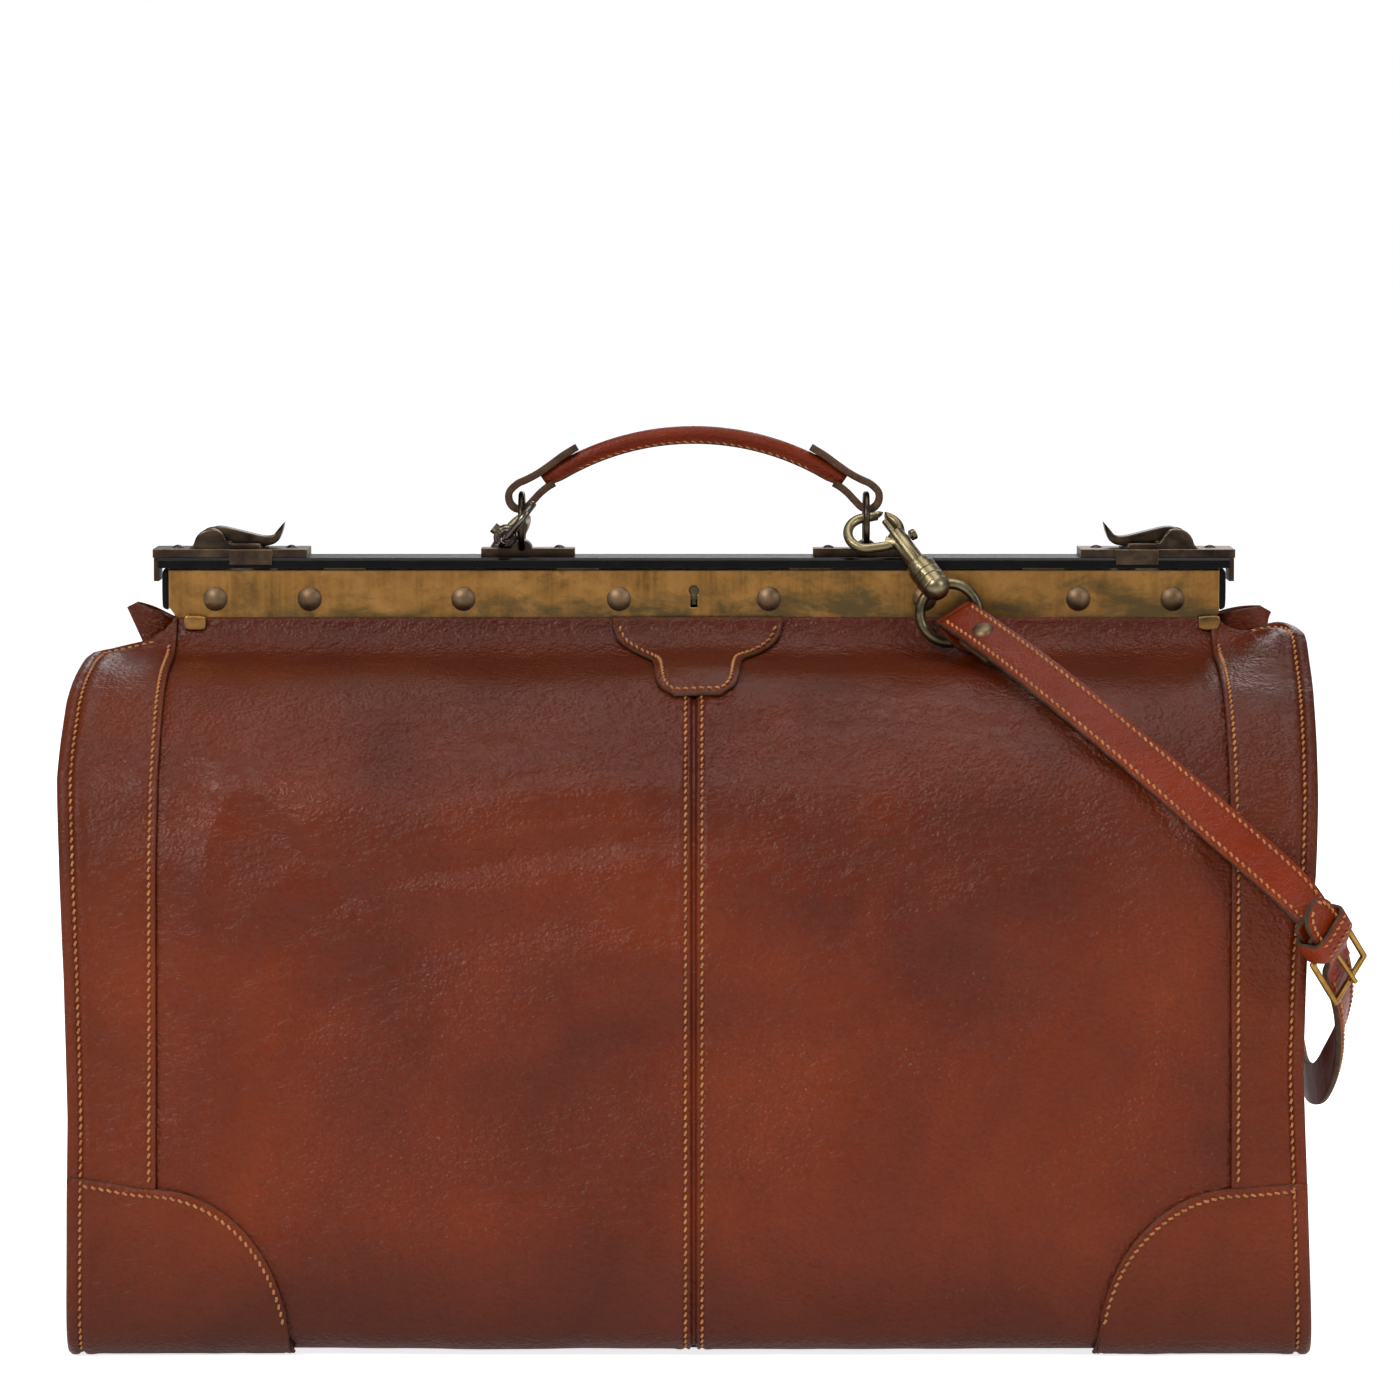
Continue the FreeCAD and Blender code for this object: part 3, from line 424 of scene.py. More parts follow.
def thread(name, dark, light):
    g = Graph(name)
    dark, light = linear(dark), linear(light)
    twist = g.noise(1500.0, 2.0, 0.5, (1.0, 1.0, 0.4))
    tone = g.noise(60.0, 3.0, 0.6)
    base = g.ramp(g.math("ADD", g.math("MULTIPLY", twist, 0.6), g.math("MULTIPLY", tone, 0.4)),
                  [(0.35, dark), (0.62, light)])
    g.bumps([(twist, 0.00012, 0.6)])
    return g.finish(base, g.grey(twist, 0.3, 0.7, 0.5, 0.72), 0.0, Sheen_Weight=0.2, Specular_IOR_Level=0.4)


def metal(name, dark, middle, light, worn_and_glint, brushed, gloss, wear_and_glint_range=(0.90, 0.995), stains=None,
          radius=0.0005, metallic=1.0, shine=0.5):
    """Aged metal: mottled patina, an optional brushing direction, and bright edges that are partly bare worn
    metal and partly a painted edge highlight.
    """
    g = Graph(name)
    dark, middle, light, worn_and_glint = linear(dark), linear(middle), linear(light), linear(worn_and_glint)
    patina = g.noise(70.0, 5.0, 0.62, None, 0.5)
    speck = g.noise(520.0, 3.0, 0.6)
    base = g.ramp(patina, [(0.32, dark), (0.5, middle), (0.66, light)])
    brush = g.noise(110.0, 4.0, 0.6, brushed or (1.0, 1.0, 1.0))
    base = g.mix(g.grey(brush, 0.38, 0.70, 0.0, 0.55), base, light)
    base = g.mix(g.grey(speck, 0.56, 0.75, 0.0, 0.45), base, dark)
    if stains is not None:
        blot = g.noise(30.0, 6.0, 0.72, (1.0, 1.0, 2.0), 0.3)
        place = g.add("ShaderNodeSeparateXYZ")
        g.join(g.place, place.inputs["Vector"])
        low = g.grey(place.outputs["Z"], 0.316, 0.299, 0.0, 0.17)
        base = g.mix(g.grey(g.math("ADD", blot, low), 0.56, 0.74, 0.0, 0.85), base, linear(stains))
    # the edges are painted in the worn colour: partly real wear, partly a painted highlight where light
    # catches the edges
    edge, rounded = g.edge_wear(radius, wear_and_glint_range[0], wear_and_glint_range[1])
    edge = g.math("MULTIPLY", edge, g.grey(g.noise(140.0, 3.0, 0.6), 0.3, 0.6, 0.35, 1.0))
    base = g.mix(edge, base, worn_and_glint)
    rough = g.grey(g.math("ADD", brush, g.math("MULTIPLY", patina, 0.6)), 0.5, 1.15, gloss[0], gloss[1])
    g.bumps([(brush, 0.00006, 0.35), (speck, 0.00005, 0.3)], rounded)
    return g.finish(base, rough, metallic, Specular_IOR_Level=shine)


def cloth(name, dark, light):
    g = Graph(name)
    dark, light = linear(dark), linear(light)
    warp = g.add("ShaderNodeTexWave", wave_type="BANDS", bands_direction="X", Scale=420.0, Distortion=0.6)
    weft = g.add("ShaderNodeTexWave", wave_type="BANDS", bands_direction="Z", Scale=420.0, Distortion=0.6)
    for node in (warp, weft):
        g.join(g.place, node.inputs["Vector"])
    weave = g.math("MULTIPLY", warp.outputs["Fac"], weft.outputs["Fac"])
    tone = g.noise(30.0, 3.0, 0.6)
    base = g.mix(g.grey(weave, 0.1, 0.8, 0.0, 0.5), g.ramp(tone, [(0.35, dark), (0.65, light)]), dark)
    g.bumps([(weave, 0.0002, 0.5)])
    return g.finish(base, g.grey(tone, 0.3, 0.7, 0.75, 0.9), 0.0, Sheen_Weight=0.3, Specular_IOR_Level=0.25)


LEATHER = leather(
    "body_leather", (68, 23, 8), (96, 35, 12), (120, 46, 13), 0.38, (0.27, 0.46)
)
BAND_LEATHER = leather(
    "band_leather", (72, 26, 7), (101, 38, 11), (121, 47, 13), 0.20, (0.28, 0.46)
)
STRAP_LEATHER = leather("strap_leather", (94, 27, 2), (128, 40, 3), (146, 50, 5), 0.12,
                        (0.28, 0.44), 1300.0)
BROWN_LEATHER = leather("loop_leather", (82, 44, 28), (104, 58, 38), (126, 72, 48), 0.06,
                        (0.4, 0.6), 1200.0)
RAW = raw_edge("raw_edge", (58, 40, 28), (98, 74, 55))
THREAD = thread("thread", (126, 70, 26), (186, 120, 56))
RAIL_BRASS = metal(
    "rail_brass", (122, 88, 46), (150, 108, 58), (172, 126, 70), (206, 168, 112),
    (5.0, 1.0, 0.12), (0.28, 0.46), (0.90, 0.995), (84, 74, 50), 0.0008
)
RIVET_BRONZE = metal("rivet_bronze", (76, 60, 44), (108, 88, 66), (136, 112, 86),
                     (180, 154, 118), None, (0.40, 0.56))
CATCH_BRONZE = metal(
    "catch_bronze", (38, 31, 28), (62, 51, 43), (92, 76, 60), (170, 134, 88), None,
    (0.26, 0.44), (0.86, 0.99)
)
HARDWARE_BRASS = metal("hardware_brass", (70, 60, 46), (116, 104, 78), (150, 138, 106),
                       (204, 190, 154), None, (0.28, 0.44), (0.80, 0.99), (58, 48, 46))
# dark nickel of the catch keepers, also used as painted shade on the left snap hook
DARK_NICKEL_AND_SHADE = metal(
    "dark_nickel_and_shade", (42, 38, 44), (84, 78, 78), (126, 116, 104), (190, 176, 146), None,
    (0.16, 0.32), (0.84, 0.99)
)
BUCKLE_BRASS = metal("buckle_brass", (112, 82, 34), (150, 110, 48), (178, 138, 70),
                     (206, 170, 104), None, (0.24, 0.42), (0.86, 0.99))
STEEL = metal(
    "frame_steel", (60, 52, 40), (86, 76, 58), (112, 98, 74), (150, 132, 100),
    (6.0, 1.0, 1.0), (0.36, 0.55)
)
ENAMEL = metal("black_enamel", (5, 5, 6), (8, 8, 9), (14, 13, 14), (70, 66, 62),
               (1.0, 8.0, 1.0), (0.22, 0.34), (0.90, 0.995), None, 0.0004, 0.0, 0.12)
BOARD = raw_edge("board", (92, 74, 54), (140, 116, 88))
LINING = cloth("lining_cloth", (66, 52, 40), (98, 80, 62))

SLOT_MATERIALS = {
    "body_leather": LEATHER, "strap_leather": STRAP_LEATHER, "board": BOARD, "lining_cloth": LINING,
    "rail_brass": RAIL_BRASS, "hardware_brass": HARDWARE_BRASS, "buckle_brass": BUCKLE_BRASS,
    "rivet_bronze": RIVET_BRONZE, "catch_bronze": CATCH_BRONZE, "black_enamel": ENAMEL, "frame_steel": STEEL,
}
for node_name, node in NODES.items():
    slot_name = node.data.materials[0].name.split(".")[0]
    # painted shade: the left snap hook gets this dark finish for the shadow it hangs in, while the right hook
    # stays brass; the catch keepers are dark in their own colour
    chosen = DARK_NICKEL_AND_SHADE if node_name in ("snap_hook_left", "catch_keepers") else SLOT_MATERIALS[slot_name]
    node.data.materials[0] = chosen


# ---------------------------------------------------------------- straps, the free cords
FRONT_ROUTE = [
    ((111.8, -32.5, 302.4), (0.12, -0.88, 0.46)), ((127, -54.5, 293.0), (0.08, -0.82, 0.56)),
    ((150, -84, 276.5), (0.08, -0.87, 0.48)), ((183, -108, 250.5), (0.1, -0.92, 0.38)),
    ((214, -124.5, 224), (0.15, -0.97, 0.2)), ((242, -133.5, 200), (0.3, -0.95, 0.1)),
    ((252, -138.5, 189.5), (0.55, -0.83, 0)), ((256, -140.6, 182.4), (0.73, -0.68, -0.05)),
]
REAR_ROUTE = [
    ((263.5, -130.6, 165.5), (0.73, -0.68, -0.05)), ((269, -122, 154), (0.82, -0.57, 0)),
    ((270, -100, 131), (0.95, -0.30, 0.05)), ((268.5, -68, 112), (1, 0, 0.1)), ((268, -30, 99), (1, 0, 0.1)),
    ((268.5, 28, 93), (1, 0, 0.1)), ((272, 86, 99), (0.97, 0.2, 0.1)), ((270, 134, 111), (0.70, 0.71, 0)),
    ((226, 143, 127), (0.1, 0.99, 0)), ((172, 141.5, 143), (0, 1, 0)), ((116, 140, 164), (0, 1, 0.05)),
    ((62, 139.5, 192), (0, 0.99, 0.1)), ((12, 136, 226), (0, 0.93, 0.36)),
    ((-28, 121.5, 262), (0, 0.82, 0.57)), ((-56, 95, 294), (0, 0.66, 0.75)),
    ((-74, 68, 310), (0, 0.55, 0.83)), ((-81, 47.5, 319.5), (0.1, 0.45, 0.88)),
]
STRAP_WIDE, STRAP_THICK = 18.0, 3.0


def nurbs_path(name, route):
    """Points read from a smooth NURBS line whose control points are the route's points, in millimetres."""
    data = bpy.data.curves.new(name, "CURVE")
    data.dimensions = "3D"
    data.resolution_u = 14
    spline = data.splines.new("NURBS")
    spline.points.add(len(route) - 1)
    for point, (place, _) in zip(spline.points, route):
        point.co = (place[0] * MM, place[1] * MM, place[2] * MM, 1.0)
    spline.order_u = 3
    spline.use_endpoint_u = True
    line = bpy.data.objects.new(name, data)
    bpy.context.scene.collection.objects.link(line)
    bpy.context.view_layer.update()
    mesh = bpy.data.meshes.new_from_object(line)
    points = np.array([v.co for v in mesh.vertices]) / MM
    bpy.data.objects.remove(line)
    bpy.data.meshes.remove(mesh)
    spans = len(route) - 2
    knots = np.concatenate([[0.0], (np.arange(spans) + 0.5) / spans, [1.0]])
    at = np.linspace(0.0, 1.0, len(points))
    facing = np.array([face for _, face in route], float)
    return points, np.stack([np.interp(at, knots, facing[:, k]) for k in range(3)], 1)


def strap_rows(path, facing, inset, start, stop):
    """The two stitch rows of a strap, on its face, between two distances along it."""
    p, f = resample(path, 2.0, (facing,))
    _, normal, side = frames_along(p, f)
    length = np.concatenate([[0.0], np.cumsum(np.linalg.norm(np.diff(p, axis=0), axis=1))])
    keep = (length >= start) & (length <= length[-1] - stop)
    runs = []
    for sign in (-1, 1):
        row = p + side * sign * (STRAP_WIDE / 2 - inset) + normal * (STRAP_THICK / 2 + 0.1)
        runs.append((row[keep], normal[keep]))
    return runs


def make_straps():
    front, front_face = nurbs_path("front_line", FRONT_ROUTE)
    rear, rear_face = nurbs_path("rear_line", REAR_ROUTE)
    front, front_face = resample(front, 2.5, (front_face,))
    rear, rear_face = resample(rear, 3.0, (rear_face,))
    mats = [STRAP_LEATHER, RAW]
    front_strap = band_piece("strap_front", front, front_face, STRAP_WIDE, STRAP_THICK, mats)
    rear_strap = band_piece("strap_rear", rear, rear_face, STRAP_WIDE, STRAP_THICK, mats)
    front_thread = stitch_piece("strap_front_stitches", strap_rows(front, front_face, 2.4, 2.0, 3.0))
    rear_thread = stitch_piece("strap_rear_stitches", strap_rows(rear, rear_face, 2.4, 3.0, 3.0))
    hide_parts("strap_front_lower", "strap_front_upper")
    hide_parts("strap_rear_lower", "strap_rear_upper")
    for piece in (front_strap, front_thread):
        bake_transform(piece)
    for piece in (rear_strap, rear_thread):
        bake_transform(piece)
    return front, front_face, rear, rear_face, front_strap, rear_strap, front_thread, rear_thread


(
    front_path, front_faces, rear_path, rear_faces, strap_front, strap_rear, front_thread, rear_thread
) = make_straps()


def length_of(path):
    return float(np.sum(np.linalg.norm(np.diff(path, axis=0), axis=1))) * MM


# ---------------------------------------------------------------- the shape of the body
PROFILE = [
    (104, 1.2), (115, 1.9), (123, 4.6), (128.2, 10), (130.6, 18), (131.8, 40), (131.6, 70), (128.8, 108),
    (125.2, 146), (123.8, 180), (121.9, 204), (116.8, 222), (108.6, 239), (94.5, 257.5), (79, 270.8),
    (62, 278.2), (44, 281.6), (29, 284.2), (20.5, 289), (16.6, 294.5), (15.0, 299.8),
]


def spline_points(points, count):
    """An even Catmull-Rom line through the points."""
    p = np.asarray(points, float)
    p = np.vstack([2 * p[0] - p[1], p, 2 * p[-1] - p[-2]])
    fine = []
    for i in range(1, len(p) - 2):
        for t in np.linspace(0, 1, 24, endpoint=False):
            a, b, c, d = p[i - 1:i + 3]
            fine.append(0.5 * (2 * b + (c - a) * t + (2 * a - 5 * b + 4 * c - d) * t ** 2
                               + (3 * b - a - 3 * c + d) * t ** 3))
    fine.append(p[-2])
    fine = np.array(fine)
    length = np.concatenate([[0.0], np.cumsum(np.linalg.norm(np.diff(fine, axis=0), axis=1))])
    at = np.linspace(0, length[-1], count)
    return np.stack([np.interp(at, length, fine[:, k]) for k in range(fine.shape[1])], 1), at


LINE, LINE_AT = spline_points(PROFILE, 420)
LINE_LENGTH = LINE_AT[-1]
LINE_NORMAL = unit(np.stack([np.gradient(LINE[:, 1]), -np.gradient(LINE[:, 0])], 1))
EDGE_LEFT = [
    (0, 259.5), (40, 259), (100, 258.4), (160, 260), (210, 262), (240, 263.8), (254, 263.2), (268, 262.4),
    (276, 261), (281, 259), (283.4, 257), (284.8, 251), (287, 243), (290, 233), (295, 226), (300, 222)
]
EDGE_RIGHT = [
    (0, 256), (60, 253.6), (120, 251.6), (170, 253.2), (200, 256.5), (230, 258.2), (268, 259.4), (277, 260),
    (281, 259.6), (283.4, 258.2), (284.8, 255.5), (287, 250), (290, 241), (295, 230), (300, 222)
]


def s_at_height(z):
    return float(np.interp(z, LINE[:, 1], LINE_AT))


def edge_x(side, s):
    z = np.interp(s, LINE_AT, LINE[:, 1])
    table = np.array(EDGE_LEFT if side == LEFT else EDGE_RIGHT)
    return np.interp(z, table[:, 0], table[:, 1])


FOLDS = [
    # x, z, angle in degrees, half length, half width, depth in millimetres (front)
    (-45, 214, 8, 60, 8, -1.9), (-60, 226, 4, 62, 11, 1.7), (-150, 232, -12, 60, 12, 1.6),
    (-165, 208, -22, 55, 12, -1.5), (-95, 252, 6, 62, 9, -1.4), (60, 248, -6, 60, 10, -1.3),
    (120, 236, -16, 62, 13, 1.5), (165, 210, -38, 60, 15, -1.6), (195, 190, -60, 52, 12, 1.4),
    (-190, 150, 72, 62, 16, 1.3), (-60, 150, 28, 88, 26, 1.7), (-120, 100, 18, 74, 24, -1.5),
    (70, 140, -30, 84, 26, 1.7), (140, 90, 40, 76, 24, -1.4), (40, 70, 12, 82, 22, 1.0),
    (-40, 226, 3, 46, 4.5, -1.5), (-58, 237, 5, 52, 6, 1.4), (-182, 224, -35, 40, 5, -1.2),
    (-130, 262, 10, 42, 5, -1.2), (150, 255, -14, 46, 6, -1.2), (92, 264, -4, 40, 4.5, -1.0),
    (38, 263, 6, 30, 4, -1.0), (-62, 268, 2, 42, 5, -1.0), (202, 228, -70, 40, 6, 1.2),
    (-203, 196, 80, 50, 7, 1.1), (-110, 196, -8, 50, 9, 1.1), (-84, 178, 14, 56, 10, -1.1),
    (104, 186, 22, 54, 10, 1.1), (150, 160, -48, 58, 11, 1.2), (176, 132, -40, 50, 9, -1.0),
    (-30, 44, -8, 92, 18, 1.1), (-96, 205, 10, 44, 4, -1.1), (-20, 178, -6, 60, 7, -0.9),
    (66, 212, -10, 48, 5, -0.9), (-170, 172, 40, 46, 6, -0.9), (110, 38, 6, 82, 18, -1.0),
    (200, 120, 84, 52, 14, 1.0),
]


def relief(face, x, s):
    """How far the leather stands out from its smooth shape: soft folds, sag and slow waves."""
    z = np.interp(s, LINE_AT, LINE[:, 1])
    height = np.zeros(np.broadcast(x, s).shape)
    mirror = 1.0 if face == FRONT else -1.0
    for fx, fz, angle, long, wide, depth in FOLDS:
        a = math.radians(angle)
        dx, dz = x * mirror - fx, z - fz
        along = dx * math.cos(a) + dz * math.sin(a)
        across = -dx * math.sin(a) + dz * math.cos(a) + 0.0016 * along ** 2
        height = height + 1.75 * depth * np.exp(-(along / long) ** 2 - (across / wide) ** 2)
    waves = np.vectorize(lambda px, ps: noise.noise(Vector((px * 0.016, ps * 0.02, 7.0 * face))) * 1.5
                         + noise.noise(Vector((px * 0.05, ps * 0.06, 3.0 * face))) * 0.55
                         + noise.noise(Vector((px * 0.13, ps * 0.10, 5.0 * face))) * 0.16)(x, s)
    fade = smooth(0, 30, s) * (1 - smooth(LINE_LENGTH - 22, LINE_LENGTH - 6, s))
    belly = 2.2 * np.exp(-((z - 70) / 80) ** 2) * np.cos(np.clip(x / 250, -1, 1) * math.pi / 2)
    return (height + waves + belly) * fade


def body_points(face, x, s, above=0.0):
    """Points of the body's outer leather at x and at a distance s along the profile, a height above it."""
    x, s = np.broadcast_arrays(np.asarray(x, float), np.asarray(s, float))
    y = np.interp(s, LINE_AT, LINE[:, 0])
    z = np.interp(s, LINE_AT, LINE[:, 1])
    ny = np.interp(s, LINE_AT, LINE_NORMAL[:, 0])
    nz = np.interp(s, LINE_AT, LINE_NORMAL[:, 1])
    rise = relief(face, x, s) + above
    top = smooth(LINE_LENGTH - 66, LINE_LENGTH - 34, s) * (1 - smooth(LINE_LENGTH - 16, LINE_LENGTH, s))
    lift = (12.5, 1.5) if face == FRONT else (3.0, -5.0)
    shoulder = np.where(x > 0, *lift) * smooth(226, 256, np.abs(x)) * top
    return np.stack([x, face * (y + ny * rise), np.maximum(z + nz * rise + shoulder, 0.1)], -1)


def body_normals(face, x, s):
    x, s = np.broadcast_arrays(np.asarray(x, float), np.asarray(s, float))
    a = body_points(face, x + 0.6, s) - body_points(face, x - 0.6, s)
    b = body_points(
        face, x, np.clip(s + 0.6, 0, LINE_LENGTH)
    ) - body_points(face, x, np.clip(s - 0.6, 0, LINE_LENGTH))
    n = unit(np.cross(a, b))
    y = np.interp(s, LINE_AT, LINE_NORMAL[:, 0]) * face
    return n * np.sign(n[..., 1] * y + n[..., 2] * np.interp(s, LINE_AT, LINE_NORMAL[:, 1]))[..., None]


JAWS = {FRONT: "front_jaw", REAR: "rear_jaw"}
FACE_NAMES = {FRONT: "front", REAR: "rear"}
SIDE_NAMES = {LEFT: "left", RIGHT: "right"}


def corner(face, side):
    return f"{FACE_NAMES[face]}_{SIDE_NAMES[side]}"


def follow_jaw(piece):
    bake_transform(piece)
    return piece


SEAM_IN = 222.0
SEAM_ROW = 3.4
PATCH_CORNER = 167.0
PATCH_ROWS = 34
WALL = 1.7


def panel_rows():
    return np.concatenate(
        [np.arange(0, LINE_LENGTH - 40, 2.6), np.linspace(LINE_LENGTH - 38, LINE_LENGTH, 22)]
    )


def make_panels(face, side):
    """Main panel from the centre seam to under the side band."""
    near = np.array([0.35, 0.8, 1.3, 1.9, 2.6, 3.1, 3.6, 4.2, 5.0, 6.2, 8.0])
    across = np.concatenate([near, np.arange(10.6, SEAM_IN + 4.0, 2.7)])
    s = panel_rows()
    grid_x, grid_s = np.meshgrid(across, s, indexing="ij")
    seam = -1.9 * bump(grid_x, 0.0, 1.3) + 0.55 * bump(grid_x, 1.9, 0.9) - 0.5 * bump(grid_x, SEAM_ROW, 0.75)
    seam = seam + 0.35 * bump(grid_x, 5.6, 1.6)
    tuck = -1.1 * smooth(SEAM_IN - 3.0, SEAM_IN + 1.5, grid_x)
    grid = body_points(face, side * grid_x, grid_s, seam + tuck)
    name = f"panel_{corner(face, side)}"
    out = body_normals(face, side * grid_x, grid_s)
    piece = grid_shell(name, grid, WALL, [LEATHER, RAW, LINING], out)
    yoke = f"{FACE_NAMES[face]}_yoke_{SIDE_NAMES[side]}"
    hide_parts(f"{FACE_NAMES[face]}_panel_{SIDE_NAMES[side]}", yoke)
    return follow_jaw(piece)


def make_seam_tape(face):
    """Leather strip behind the centre seam, which both main panels are sewn to."""
    across = np.array([-6.5, -4.0, -1.5, 0.0, 1.5, 4.0, 6.5])
    s = panel_rows()
    grid_x, grid_s = np.meshgrid(across, s, indexing="ij")
    grid = body_points(face, grid_x, grid_s, -1.55)
    piece = grid_shell(f"seam_tape_{FACE_NAMES[face]}", grid, 1.2, [LEATHER, RAW, LINING],
                       body_normals(face, grid_x, grid_s))
    return follow_jaw(piece)


def flange_shape(gap):
    """Height across the stitched flange, by the distance in from its outer edge."""
    return (-1.25 * bump(gap, 5.6, 1.05) + 0.5 * bump(gap, 3.0, 1.5) + 0.55 * bump(gap, 8.8, 2.4)
            - 0.9 * (1 - smooth(0.0, 1.3, gap)))


def gathers(side, x_gap, s):
    """Fine puckers where the leather is eased round the shoulder's curve."""
    zone = smooth(LINE_LENGTH - 150, LINE_LENGTH - 110, s) * (
        1 - smooth(LINE_LENGTH - 30, LINE_LENGTH - 14, s)
    )
    return 0.34 * np.sin(s * 1.05 + side) * np.exp(-((x_gap - 8) / 7) ** 2) * zone


def make_bands(face, side):
    """Side band with its raw inner edge, running out into the stitched flange."""
    s = panel_rows()
    v = np.concatenate(
        [[0.0, 0.012, 0.03, 0.055, 0.085], np.linspace(0.12, 0.70, 9), np.linspace(0.73, 1.0, 15)]
    )
    grid_v, grid_s = np.meshgrid(v, s, indexing="ij")
    limit = edge_x(side, grid_s)
    grid_x = SEAM_IN + (limit - SEAM_IN) * grid_v
    span = np.maximum(limit - SEAM_IN, 1.0)
    full = smooth(8.0, 22.0, span)
    gap = limit - grid_x
    rise = 1.25 - 0.35 * bump(grid_x - SEAM_IN, 2.6, 0.8) + 0.25 * bump(grid_x - SEAM_IN, 1.2, 0.7)
    rise = rise + flange_shape(gap) * full + gathers(side, gap, grid_s) * full
    grid = body_points(face, side * grid_x, grid_s, rise)
    out = body_normals(face, side * grid_x, grid_s)
    piece = grid_shell(
        f"band_{corner(face, side)}", grid, WALL, [BAND_LEATHER, RAW, LINING], out
    )
    if side == LEFT:
        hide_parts(f"side_bands_{FACE_NAMES[face]}")
    return follow_jaw(piece)


def patch_top(side, x):
    """Height of a corner patch's rounded top edge at a distance from the middle."""
    far = 76.0 if side == LEFT else 74.0
    reach = np.clip((x - PATCH_CORNER) / (SEAM_IN + 2 - PATCH_CORNER), 0, 1)
    arc = 71.5 * np.sqrt(np.clip(1 - (1 - reach) ** 2, 0, 1)) ** 0.92
    return arc + (far - 71.5) * smooth(SEAM_IN, 258, x)


def make_patches(face):
    for side in (LEFT, RIGHT):
        base = s_at_height(6.0)
        limit = edge_x(side, np.array([base]))[0]
        across = np.concatenate(
            [
                np.linspace(PATCH_CORNER, PATCH_CORNER + 6, 8), np.linspace(PATCH_CORNER + 8, limit - 12, 26),
                np.linspace(limit - 11, limit, 12)
            ]
        )
        rows = []
        for x in across:
            top = np.interp(max(patch_top(side, x), 5.0), LINE[:, 1], LINE_AT)
            rows.append(np.linspace(4.0, top, PATCH_ROWS))
        grid_s = np.array(rows)
        grid_x = np.repeat(across[:, None], PATCH_ROWS, axis=1)
        here = edge_x(side, grid_s)
        grid_x = grid_x + (here - limit) * smooth(190.0, limit - 9.0, grid_x)
        gap = here - grid_x
        rim = np.minimum(grid_s[:, -1:] - grid_s, (grid_x - PATCH_CORNER) * 1.2)
        rise = 2.35 + flange_shape(gap) - 0.35 * bump(rim, 2.8, 0.8) + 0.2 * bump(rim, 1.2, 0.7)
        grid = body_points(face, side * grid_x, grid_s, rise)
        out = body_normals(face, side * grid_x, grid_s)
        piece = grid_shell(
            f"corner_patch_{corner(face, side)}", grid, 1.5, [BAND_LEATHER, RAW], out
        )
        if side == LEFT:
            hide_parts(f"corner_patches_{FACE_NAMES[face]}")
        follow_jaw(piece)


def row(face, xs, ss, above):
    points = body_points(face, xs, ss, above)
    return points, body_normals(face, xs, ss)


def make_body_stitches(face):
    """Every seam of one face: centre rows, side bands, flanges and corner patches."""
    runs = []
    low = s_at_height(5.0)
    s = np.arange(low, LINE_LENGTH - 3, 1.5)
    for sign in (-1, 1):
        runs.append(row(face, np.full(len(s), sign * SEAM_ROW), s, -0.15))
    for side in (LEFT, RIGHT):
        start = s_at_height(74.0)
        s = np.arange(start, LINE_LENGTH - 14, 1.5)
        runs.append(row(face, np.full(len(s), side * (SEAM_IN + 2.6)), s, 1.3))
        s = np.arange(low, s_at_height(283.0), 1.5)
        above = np.where(s < s_at_height(73.0), 1.75, 0.65)
        runs.append(row(face, side * (edge_x(side, s) - 5.6), s, above))
        s = np.arange(s_at_height(283.0), LINE_LENGTH - 12, 0.8)
        inset = np.interp(s, [s[0], s[0] + 8, LINE_LENGTH], [5.6, 6.5, 6.0])
        runs.append(row(face, side * (edge_x(side, s) - inset), s, 1.0))
        xs = np.arange(PATCH_CORNER + 2.6, edge_x(side, low) - 7, 1.2)
        tops = np.array([np.interp(max(patch_top(side, x - 1.2), 5.0), LINE[:, 1], LINE_AT) for x in xs])
        runs.append(row(face, side * xs, tops - 2.6, 2.3))
    piece = stitch_piece(f"stitches_{FACE_NAMES[face]}", runs)
    return follow_jaw(piece)


TAB_MIDDLE = 1.5


def make_lock_tab():
    """Stitched leather tab under the keyhole, with its S-shaped sides."""
    down = LINE_LENGTH - np.array([0.5, 6, 11, 16, 21, 25, 30, 36, 46, 58, 66, 70.5, 73, 74.5])
    half = np.array([37.0, 36.2, 34.6, 31.0, 26.0, 22.4, 20.0, 18.8, 18.2, 17.6, 16.6, 14.6, 11.6, 7.5])
    s = np.concatenate([np.linspace(down[0], down[-1], 46)])
    wide = np.interp(-s, -down, half)
    wide = np.convolve(np.pad(wide, 2, mode="edge"), np.ones(5) / 5, mode="valid")
    u = np.concatenate(
        [[-1, -0.97, -0.92, -0.87, -0.8], np.linspace(-0.7, 0.7, 15), [0.8, 0.87, 0.92, 0.97, 1]]
    )
    grid_u, grid_s = np.meshgrid(u, s, indexing="ij")
    reach = wide[None, :] * grid_u
    rim = np.minimum(wide[None, :] - np.abs(reach), (grid_s - s[-1]) * 1.0 + 0.2)
    rise = 1.9 - 0.4 * bump(rim, 3.0, 0.8) + 0.2 * bump(rim, 1.3, 0.7) + 0.5 * bump(reach, 0, 14)
    grid = body_points(FRONT, reach + TAB_MIDDLE, grid_s, rise)
    piece = grid_shell(
        "lock_tab_leather", grid, WALL, [BAND_LEATHER, RAW], body_normals(FRONT, reach, grid_s)
    )
    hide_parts("lock_tab")
    follow_jaw(piece)
    inner = s < s[0] - 3
    ss = s[inner]
    xs = wide[inner] - 3.0
    stop = ss > s[-1] + 3.0
    ss, xs = ss[stop], xs[stop]
    left = np.stack([-xs, ss], 1)
    right = np.stack([xs, ss], 1)[::-1]
    bottom = np.stack([np.linspace(-xs[-1], xs[-1], 12), np.full(12, ss[-1])], 1)
    path = np.vstack([left, bottom[1:-1], right])
    run = row(FRONT, path[:, 0] + TAB_MIDDLE, path[:, 1], 2.0)
    follow_jaw(stitch_piece("lock_tab_stitches", [run]))


